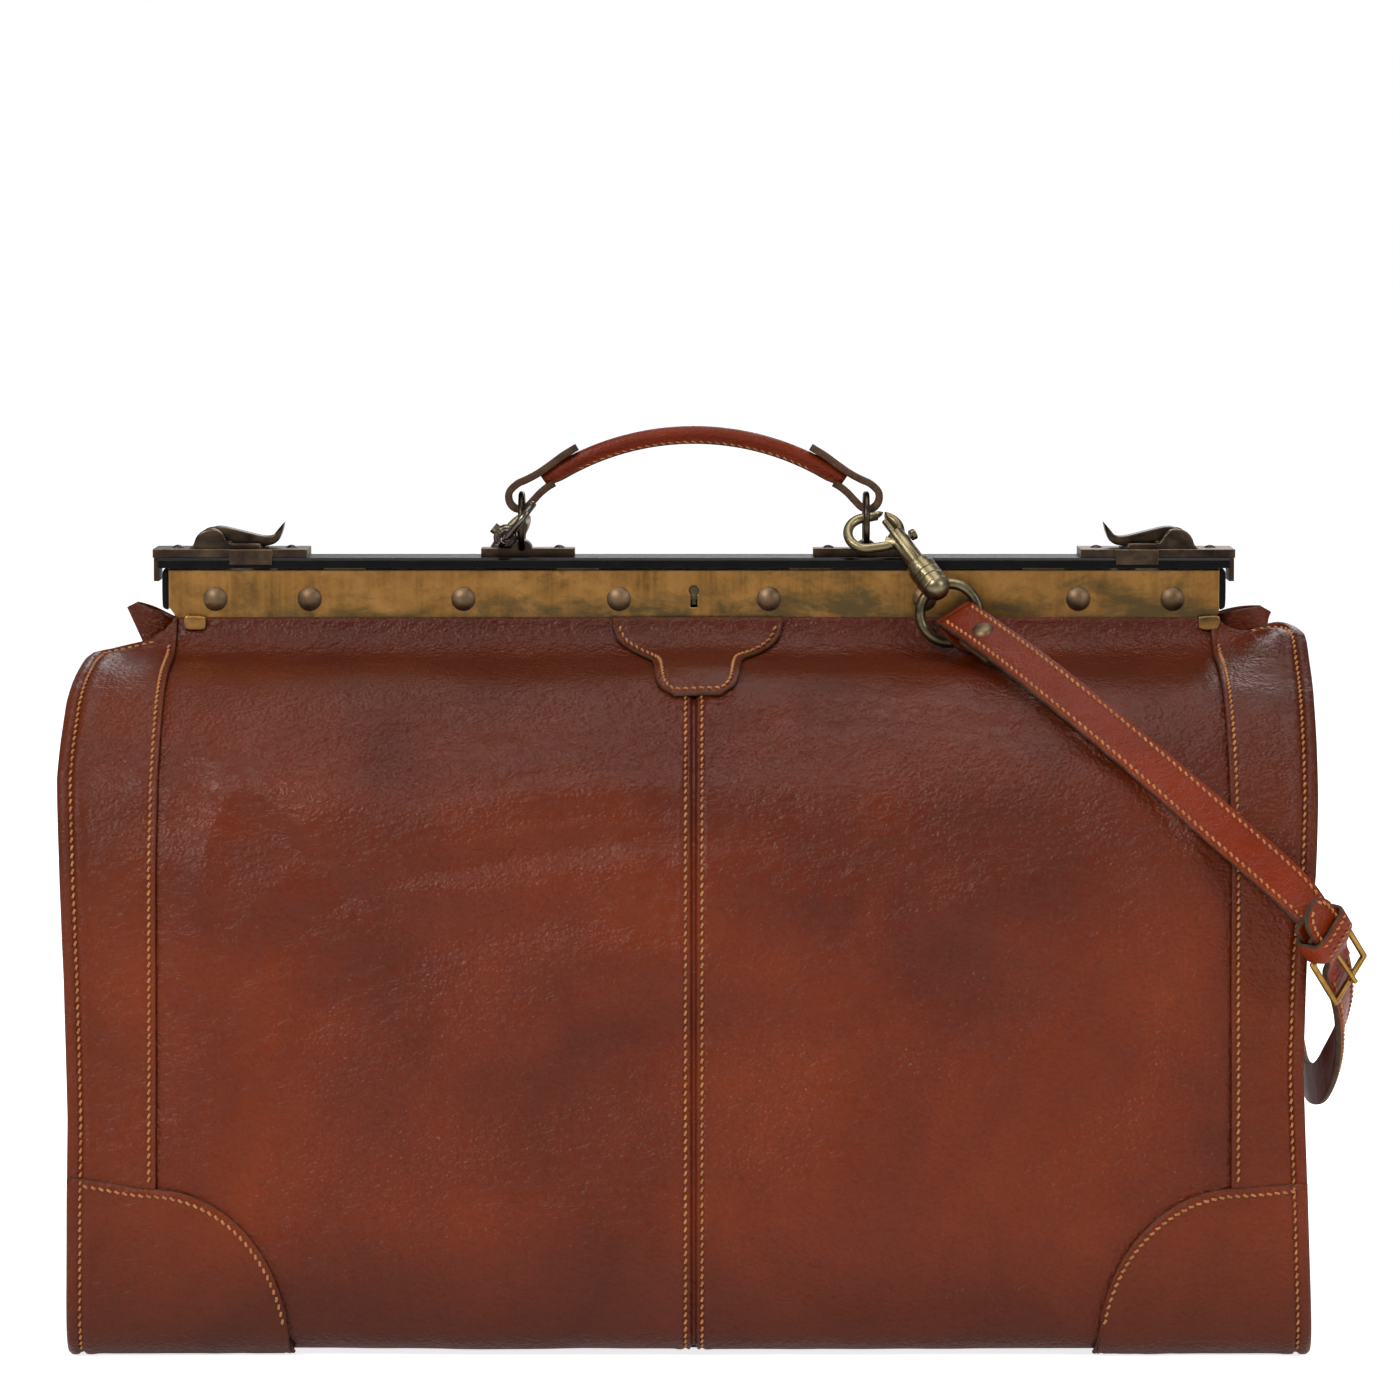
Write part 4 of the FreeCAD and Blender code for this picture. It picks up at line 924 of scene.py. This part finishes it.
def make_gusset(face, side):
    """Side wall from the flange in to the middle fold, with a soft hollow, and a turned-out flange layer."""
    s = np.arange(3.0, s_at_height(283.2), 3.2)
    edge = body_points(face, side * edge_x(side, s), s, -1.2)
    v = np.concatenate([[0.0, 0.02, 0.04, 0.055, 0.07, 0.09, 0.12], np.linspace(0.16, 1.0, 26)])
    inner_x = side * 248.4
    grid = np.zeros((len(v), len(s), 3))
    for i, t in enumerate(v):
        shrink = 1.0 - t
        y = edge[:, 1] * shrink
        turn = smooth(0.03, 0.085, t)
        x = edge[:, 0] * (1 - turn) + inner_x * turn
        hollow = 3.2 * math.sin(math.pi * t) * np.sin(np.clip((edge[:, 2] - 4) / 270, 0, 1) * math.pi)
        z = edge[:, 2] + (1 - (1 - t) ** 2) * 4.0 * smooth(250, 280, edge[:, 2]) * -2.0
        wave = np.array(
            [noise.noise(Vector((py * 0.03, pz * 0.02, 2.0 * side + face))) for py, pz in zip(y, z)]
        )
        grid[i] = np.stack([x - side * (hollow - 1.6 * wave) * smooth(0.08, 0.3, t), y, z], 1)
    out = toward(grid, side, 0, 0)
    name = f"gusset_{corner(face, side)}"
    piece = grid_shell(name, grid, 1.6, [BAND_LEATHER, RAW, LINING], out)
    if face == FRONT:
        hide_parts(f"gusset_{SIDE_NAMES[side]}")
    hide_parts(f"{FACE_NAMES[face]}_fold_{SIDE_NAMES[side]}")
    follow_jaw(piece)


def make_pleat(face, side):
    """Inner fold of the gusset, from its middle line out to its free edge."""
    z = np.linspace(178, 276, 34)
    v = np.linspace(0, 1, 12)
    grid_v, grid_z = np.meshgrid(v, z, indexing="ij")
    y = face * (0.02 + grid_v * 5.0)
    x = side * (244.6 - 1.6 * np.sin(grid_v * math.pi)) + 0 * grid_z
    grid = np.stack([x, y, grid_z], -1)
    out = toward(grid, side, 0, 0)
    piece = grid_shell(f"pleat_{corner(face, side)}", grid, 1.2, [BAND_LEATHER, RAW], out)
    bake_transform(piece)


def make_top_fold(face, side):
    """Leather of the gusset folded in level beside the frame's end, from the shoulder to the middle."""
    across = np.linspace(219.0, 247.0, 12)
    v = np.linspace(0.0, 1.0, 22)
    grid_x, grid_v = np.meshgrid(across, v, indexing="ij")
    y = 0.8 + grid_v * 58.0
    dip = 2.6 * np.sin(grid_v * math.pi) + 0.8 * np.sin(grid_v * 9.0 + side)
    z = 279.4 - 2.0 * smooth(235, 247, grid_x) - dip - 4.0 * smooth(0.72, 1.0, grid_v)
    grid = np.stack([side * grid_x, face * y, z], -1)
    piece = grid_shell(
        f"top_fold_{corner(face, side)}", grid, 1.4, [BAND_LEATHER, RAW], toward(grid, 0, 0, 1)
    )
    follow_jaw(piece)


def make_ear(face, side):
    """Soft leather ear that stands up where the gusset is folded in round the end of the frame."""
    u = np.linspace(0, 1, 16)
    v = np.linspace(0, 1, 14)
    grid = np.zeros((16, 14, 3))
    for i, a in enumerate(u):
        for j, b in enumerate(v):
            reach = 219 + (25.5 if side == LEFT else 30.0) * a
            rim = (296.0 + 10.0 * a if side == LEFT else 299.0 + 5.0 * a) + 0.9 * math.sin(math.pi * a)
            low = 284 + 3.0 * a if side == LEFT else 286.0 + 11.0 * a
            z = low + (rim - low) * b
            y = face * (3.0 + 5.0 * (1 - b) + 6.0 * math.sin(math.pi * a) * b)
            slant = 8.0 if side == LEFT else 2.5
            grid[i, j] = (
                side * (reach - slant * (1 - b) * a ** 1.5), y, z - 2.6 * b * float(smooth(0.86, 1.0, a))
            )
    out = toward(grid, 0, face, 0)
    piece = grid_shell(f"ear_{corner(face, side)}", grid, 2.2, [BAND_LEATHER, RAW], out)
    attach(piece, JAWS[face])


def make_base():
    """Leather bottom between the two faces, gently hollow, with a seam along each long edge."""
    x = np.linspace(-252, 252, 80)
    y = np.linspace(-106, 106, 36)
    grid_x, grid_y = np.meshgrid(x, y, indexing="ij")
    z = 0.35 + 1.4 * np.cos(grid_x / 252 * math.pi / 2) * np.cos(grid_y / 106 * math.pi / 2)
    grid = np.stack([grid_x, grid_y, z], -1)
    out = toward(grid, 0, 0, -1)
    piece = grid_shell("base_leather", grid, 1.6, [BAND_LEATHER, RAW], out)
    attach(piece, "root")
    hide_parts("base_panel")
    runs = []
    down = np.zeros((80, 3))
    down[:, 2] = -1
    for sign in (-1, 1):
        runs.append((np.stack([x, np.full(80, sign * 101.0), np.full(80, 0.5)], 1), down))
    threads = stitch_piece("base_stitches", runs)
    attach(threads, "root")


TUB_X, TUB_Y, TUB_ROUND, TUB_TOP = 241.0, 114.0, 20.0, 147.0


def tub_outline():
    """Half the lining's outline, from one side's middle round to the other's, as x and a distance forward."""
    turn = np.linspace(0, math.pi / 2, 9)
    corner_x = TUB_X - TUB_ROUND + TUB_ROUND * np.cos(turn)
    corner_y = TUB_Y - TUB_ROUND + TUB_ROUND * np.sin(turn)
    right = np.vstack([[[TUB_X, 0.0]], np.stack([corner_x, corner_y], 1)])
    left = right[::-1] * (-1.0, 1.0)
    flat = np.vstack([right, left])
    line = resample(np.hstack([flat, np.zeros((len(flat), 1))]), 4.0)[0]
    return line[:, :2]


def make_lining(face):
    """Loose cloth lining of one face and half of both sides, with a turned hem sewn along its top."""
    outline = tub_outline()
    z = np.concatenate([[8.4, 10, 13, 17], np.linspace(22, TUB_TOP, 40)])
    ripple = np.array(
        [
            [
                noise.noise(
                    Vector((x * 0.022, y * 0.03, h * 0.016 + 9 * face))
                ) * 1.9 + noise.noise(Vector((x * 0.09, y * 0.09, h * 0.05))) * 0.45
                for h in z
            ] for x,
            y in outline
        ]
    )
    fade = smooth(8, 24, z) * (1 - 0.7 * smooth(TUB_TOP - 14, TUB_TOP, z))
    ripple = ripple * fade[None, :]
    out = np.zeros((len(outline), 3))
    step = np.gradient(outline, axis=0)
    out[:, 0], out[:, 1] = step[:, 1], -step[:, 0]
    out = unit(out)
    if out[len(out) // 2, 1] < 0:
        out = -out
    grid = np.zeros((len(outline), len(z), 3))
    grid[..., 0] = outline[:, :1] + out[:, :1] * ripple
    grid[..., 1] = face * (outline[:, 1:] + out[:, 1:2] * ripple)
    grid[..., 2] = z[None, :]
    facing = np.repeat((out * (1, face, 1))[:, None], len(z), axis=1)
    name = FACE_NAMES[face]
    cloth_piece = grid_shell(f"lining_{name}", grid, 0.9, [LINING, LINING], facing)
    if face == FRONT:
        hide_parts("lining")
    hem_rows = z > TUB_TOP - 11
    hem = grid[:, hem_rows] - facing[:, hem_rows] * 1.15
    hem[:, -1, 2] += 0.5
    hem_piece = grid_shell(f"lining_hem_{name}", hem, 0.8, [LINING, LINING], facing[:, hem_rows])
    level = int(np.argmin(np.abs(z - (TUB_TOP - 8))))
    line = grid[:, level] - facing[:, level] * 2.0
    hem_thread = stitch_piece(f"lining_stitches_{name}", [(line, -facing[:, level])], 2.2, 0.36)
    for piece in (cloth_piece, hem_piece, hem_thread):
        follow_jaw(piece)


def make_lining_floor():
    grid_x, grid_y = np.meshgrid(np.linspace(-239, 239, 60), np.linspace(-112, 112, 30), indexing="ij")
    lift = np.array(
        [[noise.noise(Vector((x * 0.02, y * 0.025, 4.0))) for y in grid_y[0]] for x in grid_x[:, 0]]
    )
    grid = np.stack([grid_x, grid_y, 9.3 + 0.6 * lift], -1)
    up = toward(grid, 0, 0, 1)
    piece = grid_shell("lining_floor", grid, 0.8, [LINING, LINING], up)
    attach(piece, "root")


def make_pocket():
    """Flat cloth pocket sewn to the rear lining along its sides and bottom, with a hemmed mouth."""
    x = np.linspace(-90, 90, 50)
    z = np.linspace(50, 130, 30)
    grid_x, grid_z = np.meshgrid(x, z, indexing="ij")
    slack = np.sin((grid_x + 90) / 180 * math.pi) * smooth(50, 125, grid_z)
    grid = np.stack([grid_x, 110.4 - 2.6 * slack, grid_z - 2.0 * slack * smooth(110, 130, grid_z)], -1)
    inward = toward(grid, 0, -1, 0)
    pocket = grid_shell("pocket", grid, 0.9, [LINING, LINING], inward)
    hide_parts("inner_pocket")
    hem = grid[:, -5:] + inward[:, -5:] * 0.9
    hem_piece = grid_shell("pocket_hem", hem, 0.8, [LINING, LINING], inward[:, -5:])
    side_rows = [(grid[i] + inward[i] * 0.2, inward[i]) for i in (1, -2)]
    rows = side_rows + [
        (grid[:, 1] + inward[:, 1] * 0.2, inward[:, 1]), (grid[:, -4] + inward[:, -4] * 1.2, inward[:, -4])
    ]
    threads = stitch_piece("pocket_stitches", rows, 2.2, 0.36)
    for piece in (pocket, hem_piece, threads):
        follow_jaw(piece)


for face in (FRONT, REAR):
    for side in (LEFT, RIGHT):
        make_panels(face, side)
        make_bands(face, side)
        make_gusset(face, side)
        make_pleat(face, side)
        make_top_fold(face, side)
        make_ear(face, side)
    make_seam_tape(face)
    make_lining(face)
    make_patches(face)
    make_body_stitches(face)
make_lock_tab()
make_base()
make_lining_floor()
make_pocket()


# ---------------------------------------------------------------- handle
def make_grip():
    """Rolled leather handle: a round core in a sleeve that is stitched in a fin along its underside."""
    centre, radius = 263.8, 114.6
    angles = np.linspace(-34.5, 34.5, 64)
    rings, rows, out = [], [], []
    for degrees in angles:
        a = math.radians(degrees)
        up = np.array([math.sin(a), 0, math.cos(a)])
        middle = np.array([0, 0, centre]) + up * radius
        end = 1.0 - 0.25 * smooth(30.5, 34.5, abs(degrees))
        side = np.array([0, 1.0, 0])
        ring = []
        for k in range(20):
            q = 2 * math.pi * k / 20
            ring.append(middle + (up * math.sin(q) + side * math.cos(q) * 1.04) * 3.1 * end)
        fin = [(-1.3, -2.8), (-1.15, -4.0), (-0.95, -4.7), (0.95, -4.7), (1.15, -4.0), (1.3, -2.8)]
        at = [middle + side * u * end + up * v * end for u, v in fin]
        lower = ring[:12] + [at[0], at[1], at[2], at[3], at[4], at[5]] + ring[18:]
        rings.append(lower)
        rows.append((middle + up * -3.8, side))
        out.append(a)
    points, faces = cap_tube(rings)
    picks = [1 if 13 <= i % 20 <= 14 else 0 for i in range(len(faces) - 2)] + [1, 1]
    piece = make_piece("grip", points, faces, [STRAP_LEATHER, RAW], picks)
    fix_normals(piece)
    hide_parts("handle_grip")
    inner = [p for p, _ in rows[7:-7]]
    runs = []
    for sign in (-1, 1):
        path = np.array(inner) + np.array([0, sign * 1.25, 0])
        runs.append((path, np.tile([0, float(sign), 0], (len(path), 1))))
    threads = stitch_piece("grip_stitches", runs, 2.3, 0.28)
    for p in (piece, threads):
        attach(p, "handle")


def make_loop(side):
    """Double strap that wraps a link and clasps the end of the grip, riveted through."""
    route = [
        (50.4, 372.4), (56.5, 368.6), (62.5, 364.2), (67.5, 360.8), (72.0, 358.4), (76.2, 356.4),
        (79.6, 352.8), (79.4, 348.6), (76.6, 345.8), (72.6, 346.2), (69.2, 349.4), (66.2, 352.6),
        (63.0, 355.2), (60.2, 356.8)
    ]
    line, _ = spline_points(route, 60)
    path = np.stack([side * line[:, 0], np.zeros(len(line)), line[:, 1]], 1)
    tangent = unit(np.gradient(path, axis=0))
    facing = np.cross(tangent, np.array([0, 1.0, 0])) * side
    taper = np.interp(
        np.linspace(0, 1, len(line)), [0, 0.03, 0.08, 0.92, 0.97, 1.0], [2.6, 4.2, 5.0, 5.0, 4.2, 2.6]
    )
    piece = band_piece(
        f"handle_loop_{SIDE_NAMES[side]}", path, facing, 10.0, 3.0, [BROWN_LEATHER, RAW], taper
    )
    if side == LEFT:
        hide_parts("handle_loops")
    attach(piece, "handle")


make_grip()
for side in (LEFT, RIGHT):
    make_loop(side)


# ---------------------------------------------------------------- strap fittings
def dome_rivet(name, centre, direction, radius, rise, body):
    """Domed rivet head with a turned rim, sunk a little into the leather."""
    d = unit(np.asarray(direction, float))
    a = unit(np.cross(d, [0.3, 0.5, 0.8]))
    b = np.cross(d, a)
    outline = [
        (0.55, -2.2), (0.55, -0.6), (1.0, -0.6), (1.04, -0.25), (1.0, 0.05), (0.93, 0.30), (0.80, 0.60),
        (0.60, 0.82), (0.36, 0.95), (0.12, 1.0)
    ]
    rings = [[np.asarray(centre, float) + (a * math.cos(q) + b * math.sin(q)) * radius * r + d * h * rise
              for q in np.arange(28) * math.pi / 14] for r, h in outline]
    points, faces = cap_tube(rings)
    piece = make_piece(name, points, faces, [RIVET_BRONZE])
    fix_normals(piece)
    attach(piece, body)
    return piece


def strap_spot(path, faces, at):
    """Place and face direction at a distance along a strap."""
    _, normal, _ = frames_along(path, faces)
    length = np.concatenate([[0.0], np.cumsum(np.linalg.norm(np.diff(path, axis=0), axis=1))])
    i = int(np.argmin(np.abs(length - at)))
    return path[i], normal[i]


def make_strap_fittings():
    spot, face_out = strap_spot(front_path, front_faces, 20.0)
    front_rivet = dome_rivet("strap_rivet_front", spot + face_out * 1.5, face_out, 4.6, 1.9, "front_jaw")
    total = length_of(rear_path) / MM
    spot, face_out = strap_spot(rear_path, rear_faces, total - 20.0)
    rear_rivet = dome_rivet("strap_rivet_rear", spot + face_out * 1.5, face_out, 4.6, 1.9, "front_jaw")
    return front_rivet, rear_rivet


front_rivet, rear_rivet = make_strap_fittings()


def turned_end(name, path, faces, ring, start):
    """The strap's end, turned back behind its ring and under the strap to the rivet."""
    tangent, normal, side = frames_along(path, faces)
    length = np.concatenate([[0.0], np.cumsum(np.linalg.norm(np.diff(path, axis=0), axis=1))])
    first = path[0]
    ring = np.asarray(ring, float)
    away = unit(ring - (first - normal[0] * 6))
    under = []
    for at in start:
        i = int(np.argmin(np.abs(length - at)))
        under.append(path[i] - normal[i] * 3.4)
    behind = ring - normal[0] * 4.2
    route = [first, first - tangent[0] * 3.6 - normal[0] * 2.4, behind - away * 5.2, behind - normal[0] * 0.6,
             behind + tangent[0] * 5.5 + normal[0] * 0.5] + under
    line, _ = spline_points(route, 46)
    along = unit(np.gradient(line, axis=0))
    facing = -np.cross(along, np.tile(side[0], (len(line), 1)))
    if np.dot(facing[0], normal[0]) < 0:
        facing = -facing
    piece = band_piece(name, line, facing, STRAP_WIDE - 0.6, 2.8, [STRAP_LEATHER, RAW])
    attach(piece, "front_jaw")
    return piece


front_turn = turned_end("strap_turn_front", front_path, front_faces, (121.0, -27.6, 298.2), (16, 21, 27, 32))
rear_turn = turned_end(
    "strap_turn_rear", rear_path[::-1], rear_faces[::-1], (-81.4, 46.7, 325.1), (14, 20, 26, 31)
)


HEEL = np.array([259.495, -140.186, 175.428])          # middle of the buckle's heel bar
HEEL_ALONG = unit([0.45, 0.54, -0.71])
HEEL_ACROSS = unit([0.51374, 0.49409, 0.70139])
HEEL_OUT = unit([0.7302, -0.6810, -0.0551])


def buckle_point(along, out):
    return HEEL + HEEL_ALONG * along + HEEL_OUT * out


def buckle_line(points, count):
    line, _ = spline_points(points, count)
    return np.array([buckle_point(a, o) for a, o in line])


def rolled_facing(path):
    """Face directions of a strap that bends round the heel bar's own direction."""
    along = unit(np.gradient(path, axis=0))
    facing = np.cross(HEEL_ACROSS, along)
    return facing if np.dot(facing[0], HEEL_OUT) > 0 else -facing


def make_keeper_and_tip():
    """The rear strap's rounded point, up through the buckle and over its heel bar, the turned end of the
    front strap, and the stitched keeper loop round them."""
    tip_line = buckle_line(
        [
            (17.5, -2.9), (13.0, -2.2), (9.0, -0.4), (4.8, 2.6), (0.5, 4.4), (-5.0, 4.5), (-11.0, 4.0),
            (-17.0, 3.7), (-24.5, 3.6)
        ],
        44
    )
    taper = np.interp(np.linspace(0, 1, 44), [0, 0.72, 0.84, 0.92, 0.965, 0.99, 1.0],
                      [8.8, 8.8, 8.4, 7.0, 5.2, 3.2, 1.6])
    facing = rolled_facing(tip_line)
    tip = band_piece("strap_tip", tip_line, facing, STRAP_WIDE, 2.8, [STRAP_LEATHER, RAW], taper)
    _, normal, across = frames_along(tip_line, facing)
    rows = []
    for sign in (-1, 1):
        reach = np.maximum(taper - 2.3, 0.3)[:, None]
        rows.append(((tip_line + across * sign * reach + normal * 1.5)[16:43], normal[16:43]))
    tip_thread = stitch_piece("strap_tip_stitches", rows)
    turn_line = buckle_line(
        [
            (-9.5, 0.2), (-4.5, 1.0), (-1.0, 2.9), (2.1, 1.9), (3.0, -0.5), (1.6, -2.6), (-2.0, -3.3),
            (-8.0, -3.4), (-16.0, -3.4)
        ],
        40
    )
    turn = band_piece("strap_buckle_turn", turn_line, rolled_facing(turn_line), STRAP_WIDE - 1.2, 2.4,
                      [STRAP_LEATHER, RAW])
    middle = buckle_point(-5.6, 1.2)
    wide, deep = 11.0, 6.4
    loop = []
    for q in np.linspace(0, 2 * math.pi, 57)[:-1]:
        c, d = math.cos(q), math.sin(q)
        loop.append((wide * math.copysign(abs(c) ** 0.42, c), deep * math.copysign(abs(d) ** 0.5, d)))
    section = ((-1, -0.6), (-0.93, -1), (0.93, -1), (1, -0.6), (1, 0.6), (0.93, 1), (-0.93, 1), (-1, 0.6))
    rings = []
    for u, v in loop:
        radial = unit(HEEL_ACROSS * u / wide ** 2 + HEEL_OUT * v / deep ** 2)
        centre = middle + HEEL_ACROSS * u + HEEL_OUT * v
        rings.append([centre + HEEL_ALONG * a * 5.2 + radial * b * 1.0 for a, b in section])
    count = len(rings)
    faces = [(i * 8 + j, ((i + 1) % count) * 8 + j, ((i + 1) % count) * 8 + (j + 1) % 8, i * 8 + (j + 1) % 8)
             for i in range(count) for j in range(8)]
    picks = [1 if j in (0, 2, 3, 4, 6, 7) else 0 for i in range(count) for j in range(8)]
    keeper = make_piece("keeper_loop", np.array(rings).reshape(-1, 3), faces, [STRAP_LEATHER, RAW], picks)
    fix_normals(keeper)
    rows = []
    for a in (-3.0, 3.0):
        path = np.array([middle + HEEL_ALONG * a + HEEL_ACROSS * u + HEEL_OUT * (v + 1.05)
                         for u, v in loop if v > 3.6 and abs(u) < 9.8])
        path = path[np.argsort(path @ HEEL_ACROSS)]
        rows.append((path, np.tile(HEEL_OUT, (len(path), 1))))
    keeper_thread = stitch_piece("keeper_stitches", rows, 2.4, 0.46)
    pieces = [tip, tip_thread, turn, keeper, keeper_thread]
    for piece in pieces:
        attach(piece, "root")
    return pieces


buckle_end = make_keeper_and_tip()


# ---------------------------------------------------------------- cast rings and snap hooks
def thicker_cast(name, extra):
    """A cast copy of a CAD part, fuller all round by a small distance, with softened edges."""
    source = NODES[name]
    mesh = source.data.copy()
    work = bmesh.new()
    work.from_mesh(mesh)
    work.transform(source.matrix_world)
    bmesh.ops.remove_doubles(work, verts=work.verts, dist=2e-6)
    bmesh.ops.recalc_face_normals(work, faces=work.faces)
    work.normal_update()
    for v, normal in [(v, v.normal.copy()) for v in work.verts]:
        v.co += normal * extra * MM
    work.to_mesh(mesh)
    work.free()
    mesh.materials.clear()
    mesh.materials.append(HARDWARE_BRASS)
    piece = bpy.data.objects.new(name + "_cast", mesh)
    bpy.context.scene.collection.objects.link(piece)
    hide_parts(name)
    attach(piece, "front_jaw")


thicker_cast("strap_ring_left", 0.75)
thicker_cast("strap_ring_right", 0.75)
thicker_cast("snap_hook_right", 0.6)


# ---------------------------------------------------------------- catches and frame ends
def profile_piece(name, side, outline, low, high, material, body, ease=0.7, count=72):
    """A cast part: a smooth closed outline in x and z, carried from low to high in y, with eased edges."""
    closed = list(outline) + [outline[0]]
    line, _ = spline_points(closed, count + 1)
    line = line[:-1]
    centre = line.mean(0)
    tangent = unit(np.roll(line, -1, axis=0) - np.roll(line, 1, axis=0))
    inward = np.stack([-tangent[:, 1], tangent[:, 0]], 1)
    if np.mean(np.sum(inward * (centre - line), axis=1)) < 0:
        inward = -inward
    stations = [(0.0, 1.0), (0.08, 0.62), (0.3, 0.29), (0.62, 0.07), (1.0, 0.0)]
    rings = []
    for share, inset in stations:
        rings.append((low + ease * share, inset))
    for share, inset in reversed(stations):
        rings.append((high - ease * share, inset))
    points = [
        [
            (side * (p[0] + d[0] * inset * ease), y, p[1] + d[1] * inset * ease) for p, d in zip(line, inward)
        ] for y,
        inset in rings
    ]
    points, faces = cap_tube(points)
    piece = make_piece(name, points, faces, [material])
    fix_normals(piece)
    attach(piece, body)
    return piece


LEVER = [
    (176.4, 340.2), (179.3, 336.9), (181.6, 334.4), (185.5, 334.2), (191.0, 335.4), (197.0, 336.9),
    (203.0, 338.2), (206.8, 338.0), (209.0, 336.6), (208.9, 334.9), (207.3, 332.4), (205.4, 330.2),
    (203.0, 329.9), (192.0, 329.8), (184.0, 330.0), (179.6, 331.6), (177.4, 335.8)
]
CHEEK = [
    (185.6, 326.0), (185.8, 330.4), (188.0, 331.3), (194.0, 331.4), (199.6, 331.8), (202.2, 335.2),
    (205.6, 337.4), (210.4, 337.0), (213.6, 334.4), (215.2, 330.6), (217.4, 328.4), (217.6, 326.0),
    (209.0, 325.6), (193.0, 325.6)
]


def make_catches():
    for side in (LEFT, RIGHT):
        name = SIDE_NAMES[side]
        lever = profile_piece(f"lever_{name}", side, LEVER, -4.9, 4.9, CATCH_BRONZE, f"catch_lever_{name}")
        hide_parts(f"catch_lever_{name}")
        for tag, low, high in (("front", -11.6, -5.3), ("rear", 5.3, 11.6)):
            profile_piece(
                f"catch_cheek_{tag}_{name}", side, CHEEK, low, high, CATCH_BRONZE, "front_jaw", ease=0.9
            )


def make_hinge_tabs():
    """Small plated tabs that show under each end of the rails, where the jaw arms begin."""
    for face in (FRONT, REAR):
        for side in (LEFT, RIGHT):
            low = 209.5 if side == LEFT else 216.5
            outline = [(low, 300.2), (low, 296.4), (low + 1.2, 294.8), (low + 7.6, 294.8), (low + 8.8, 296.4),
                       (low + 8.8, 300.2), (low + 4.4, 300.6)]
            y = sorted((face * 14.2, face * 18.0))
            profile_piece(
                f"hinge_tab_{corner(face, side)}", side, outline, y[0], y[1], RAIL_BRASS,
                JAWS[face], 0.35, 40
            )


def make_frame_ends():
    """The black frame's end turned down past each end of the rails."""
    outline = [(226.0, 303.0), (227.6, 303.6), (228.3, 306.0), (228.3, 318.0), (227.4, 320.4), (226.0, 321.0),
               (225.8, 316.0), (225.8, 308.0)]
    for face in (FRONT, REAR):
        for side in (LEFT, RIGHT):
            y = sorted((face * 0.6, face * 13.2))
            profile_piece(
                f"frame_end_{corner(face, side)}", side, outline, y[0], y[1], ENAMEL,
                JAWS[face], 0.3, 48
            )


make_catches()
make_hinge_tabs()
make_frame_ends()


# ---------------------------------------------------------------- studio
def make_studio():
    floor_mesh = bpy.data.meshes.new("floor")
    floor_mesh.from_pydata([(-14, -8, 0), (14, -8, 0), (14, 22, 0), (-14, 22, 0)], [], [(0, 1, 2, 3)])
    g = Graph("floor_paint")
    glow = g.add("ShaderNodeMapRange")
    glow.inputs["To Min"].default_value = 0.30
    glow.inputs["To Max"].default_value = 0.80
    g.join(g.add("ShaderNodeLightPath").outputs["Is Camera Ray"], glow.inputs["Value"])
    g.join(glow.outputs["Result"], g.shader.inputs["Emission Strength"])
    tone = g.noise(3.0, 2.0, 0.5)
    base = g.ramp(tone, [(0.3, (0.90, 0.90, 0.90)), (0.7, (0.93, 0.93, 0.93))])
    floor_mesh.materials.append(g.finish(base, g.grey(tone, 0.3, 0.7, 0.7, 0.8), 0.0,
                                         Emission_Color=(1.0, 1.0, 1.0, 1.0)))
    floor = bpy.data.objects.new("floor", floor_mesh)
    bpy.context.scene.collection.objects.link(floor)
    world = bpy.data.worlds.new("studio")
    world.use_nodes = True
    sky = world.node_tree.nodes["Background"]
    sky.inputs["Color"].default_value = (1.0, 1.0, 1.0, 1.0)
    seen = world.node_tree.nodes.new("ShaderNodeLightPath")
    level = world.node_tree.nodes.new("ShaderNodeMapRange")
    level.inputs["To Min"].default_value = 0.30
    level.inputs["To Max"].default_value = 1.0
    world.node_tree.links.new(seen.outputs["Is Camera Ray"], level.inputs["Value"])
    world.node_tree.links.new(level.outputs["Result"], sky.inputs["Strength"])
    bpy.context.scene.world = world
    for name, place, aim, size, power, colour in (
        ("key", (-1.25, -1.9, 1.9), (0, 0, 0.15), 0.8, 42.0, (1.0, 0.99, 0.97)),
        ("fill", (1.9, -1.7, 1.3), (0, 0, 0.15), 0.9, 15.0, (0.97, 0.98, 1.0)),
        ("top", (0.2, -0.2, 2.2), (0, 0, 0.2), 1.2, 16.0, (1.0, 1.0, 1.0)),
        ("back", (0.4, 2.4, 1.8), (0, 0, 0.2), 1.6, 26.0, (1.0, 1.0, 1.0)),
    ):
        data = bpy.data.lights.new(name, "AREA")
        data.shape = "SQUARE"
        data.size = size
        data.energy = power
        data.color = colour
        light = bpy.data.objects.new(name, data)
        light.location = place
        light.rotation_euler = (Vector(aim) - Vector(place)).to_track_quat("-Z", "Y").to_euler()
        bpy.context.scene.collection.objects.link(light)
    bpy.context.scene.view_settings.view_transform = "Standard"


make_studio()
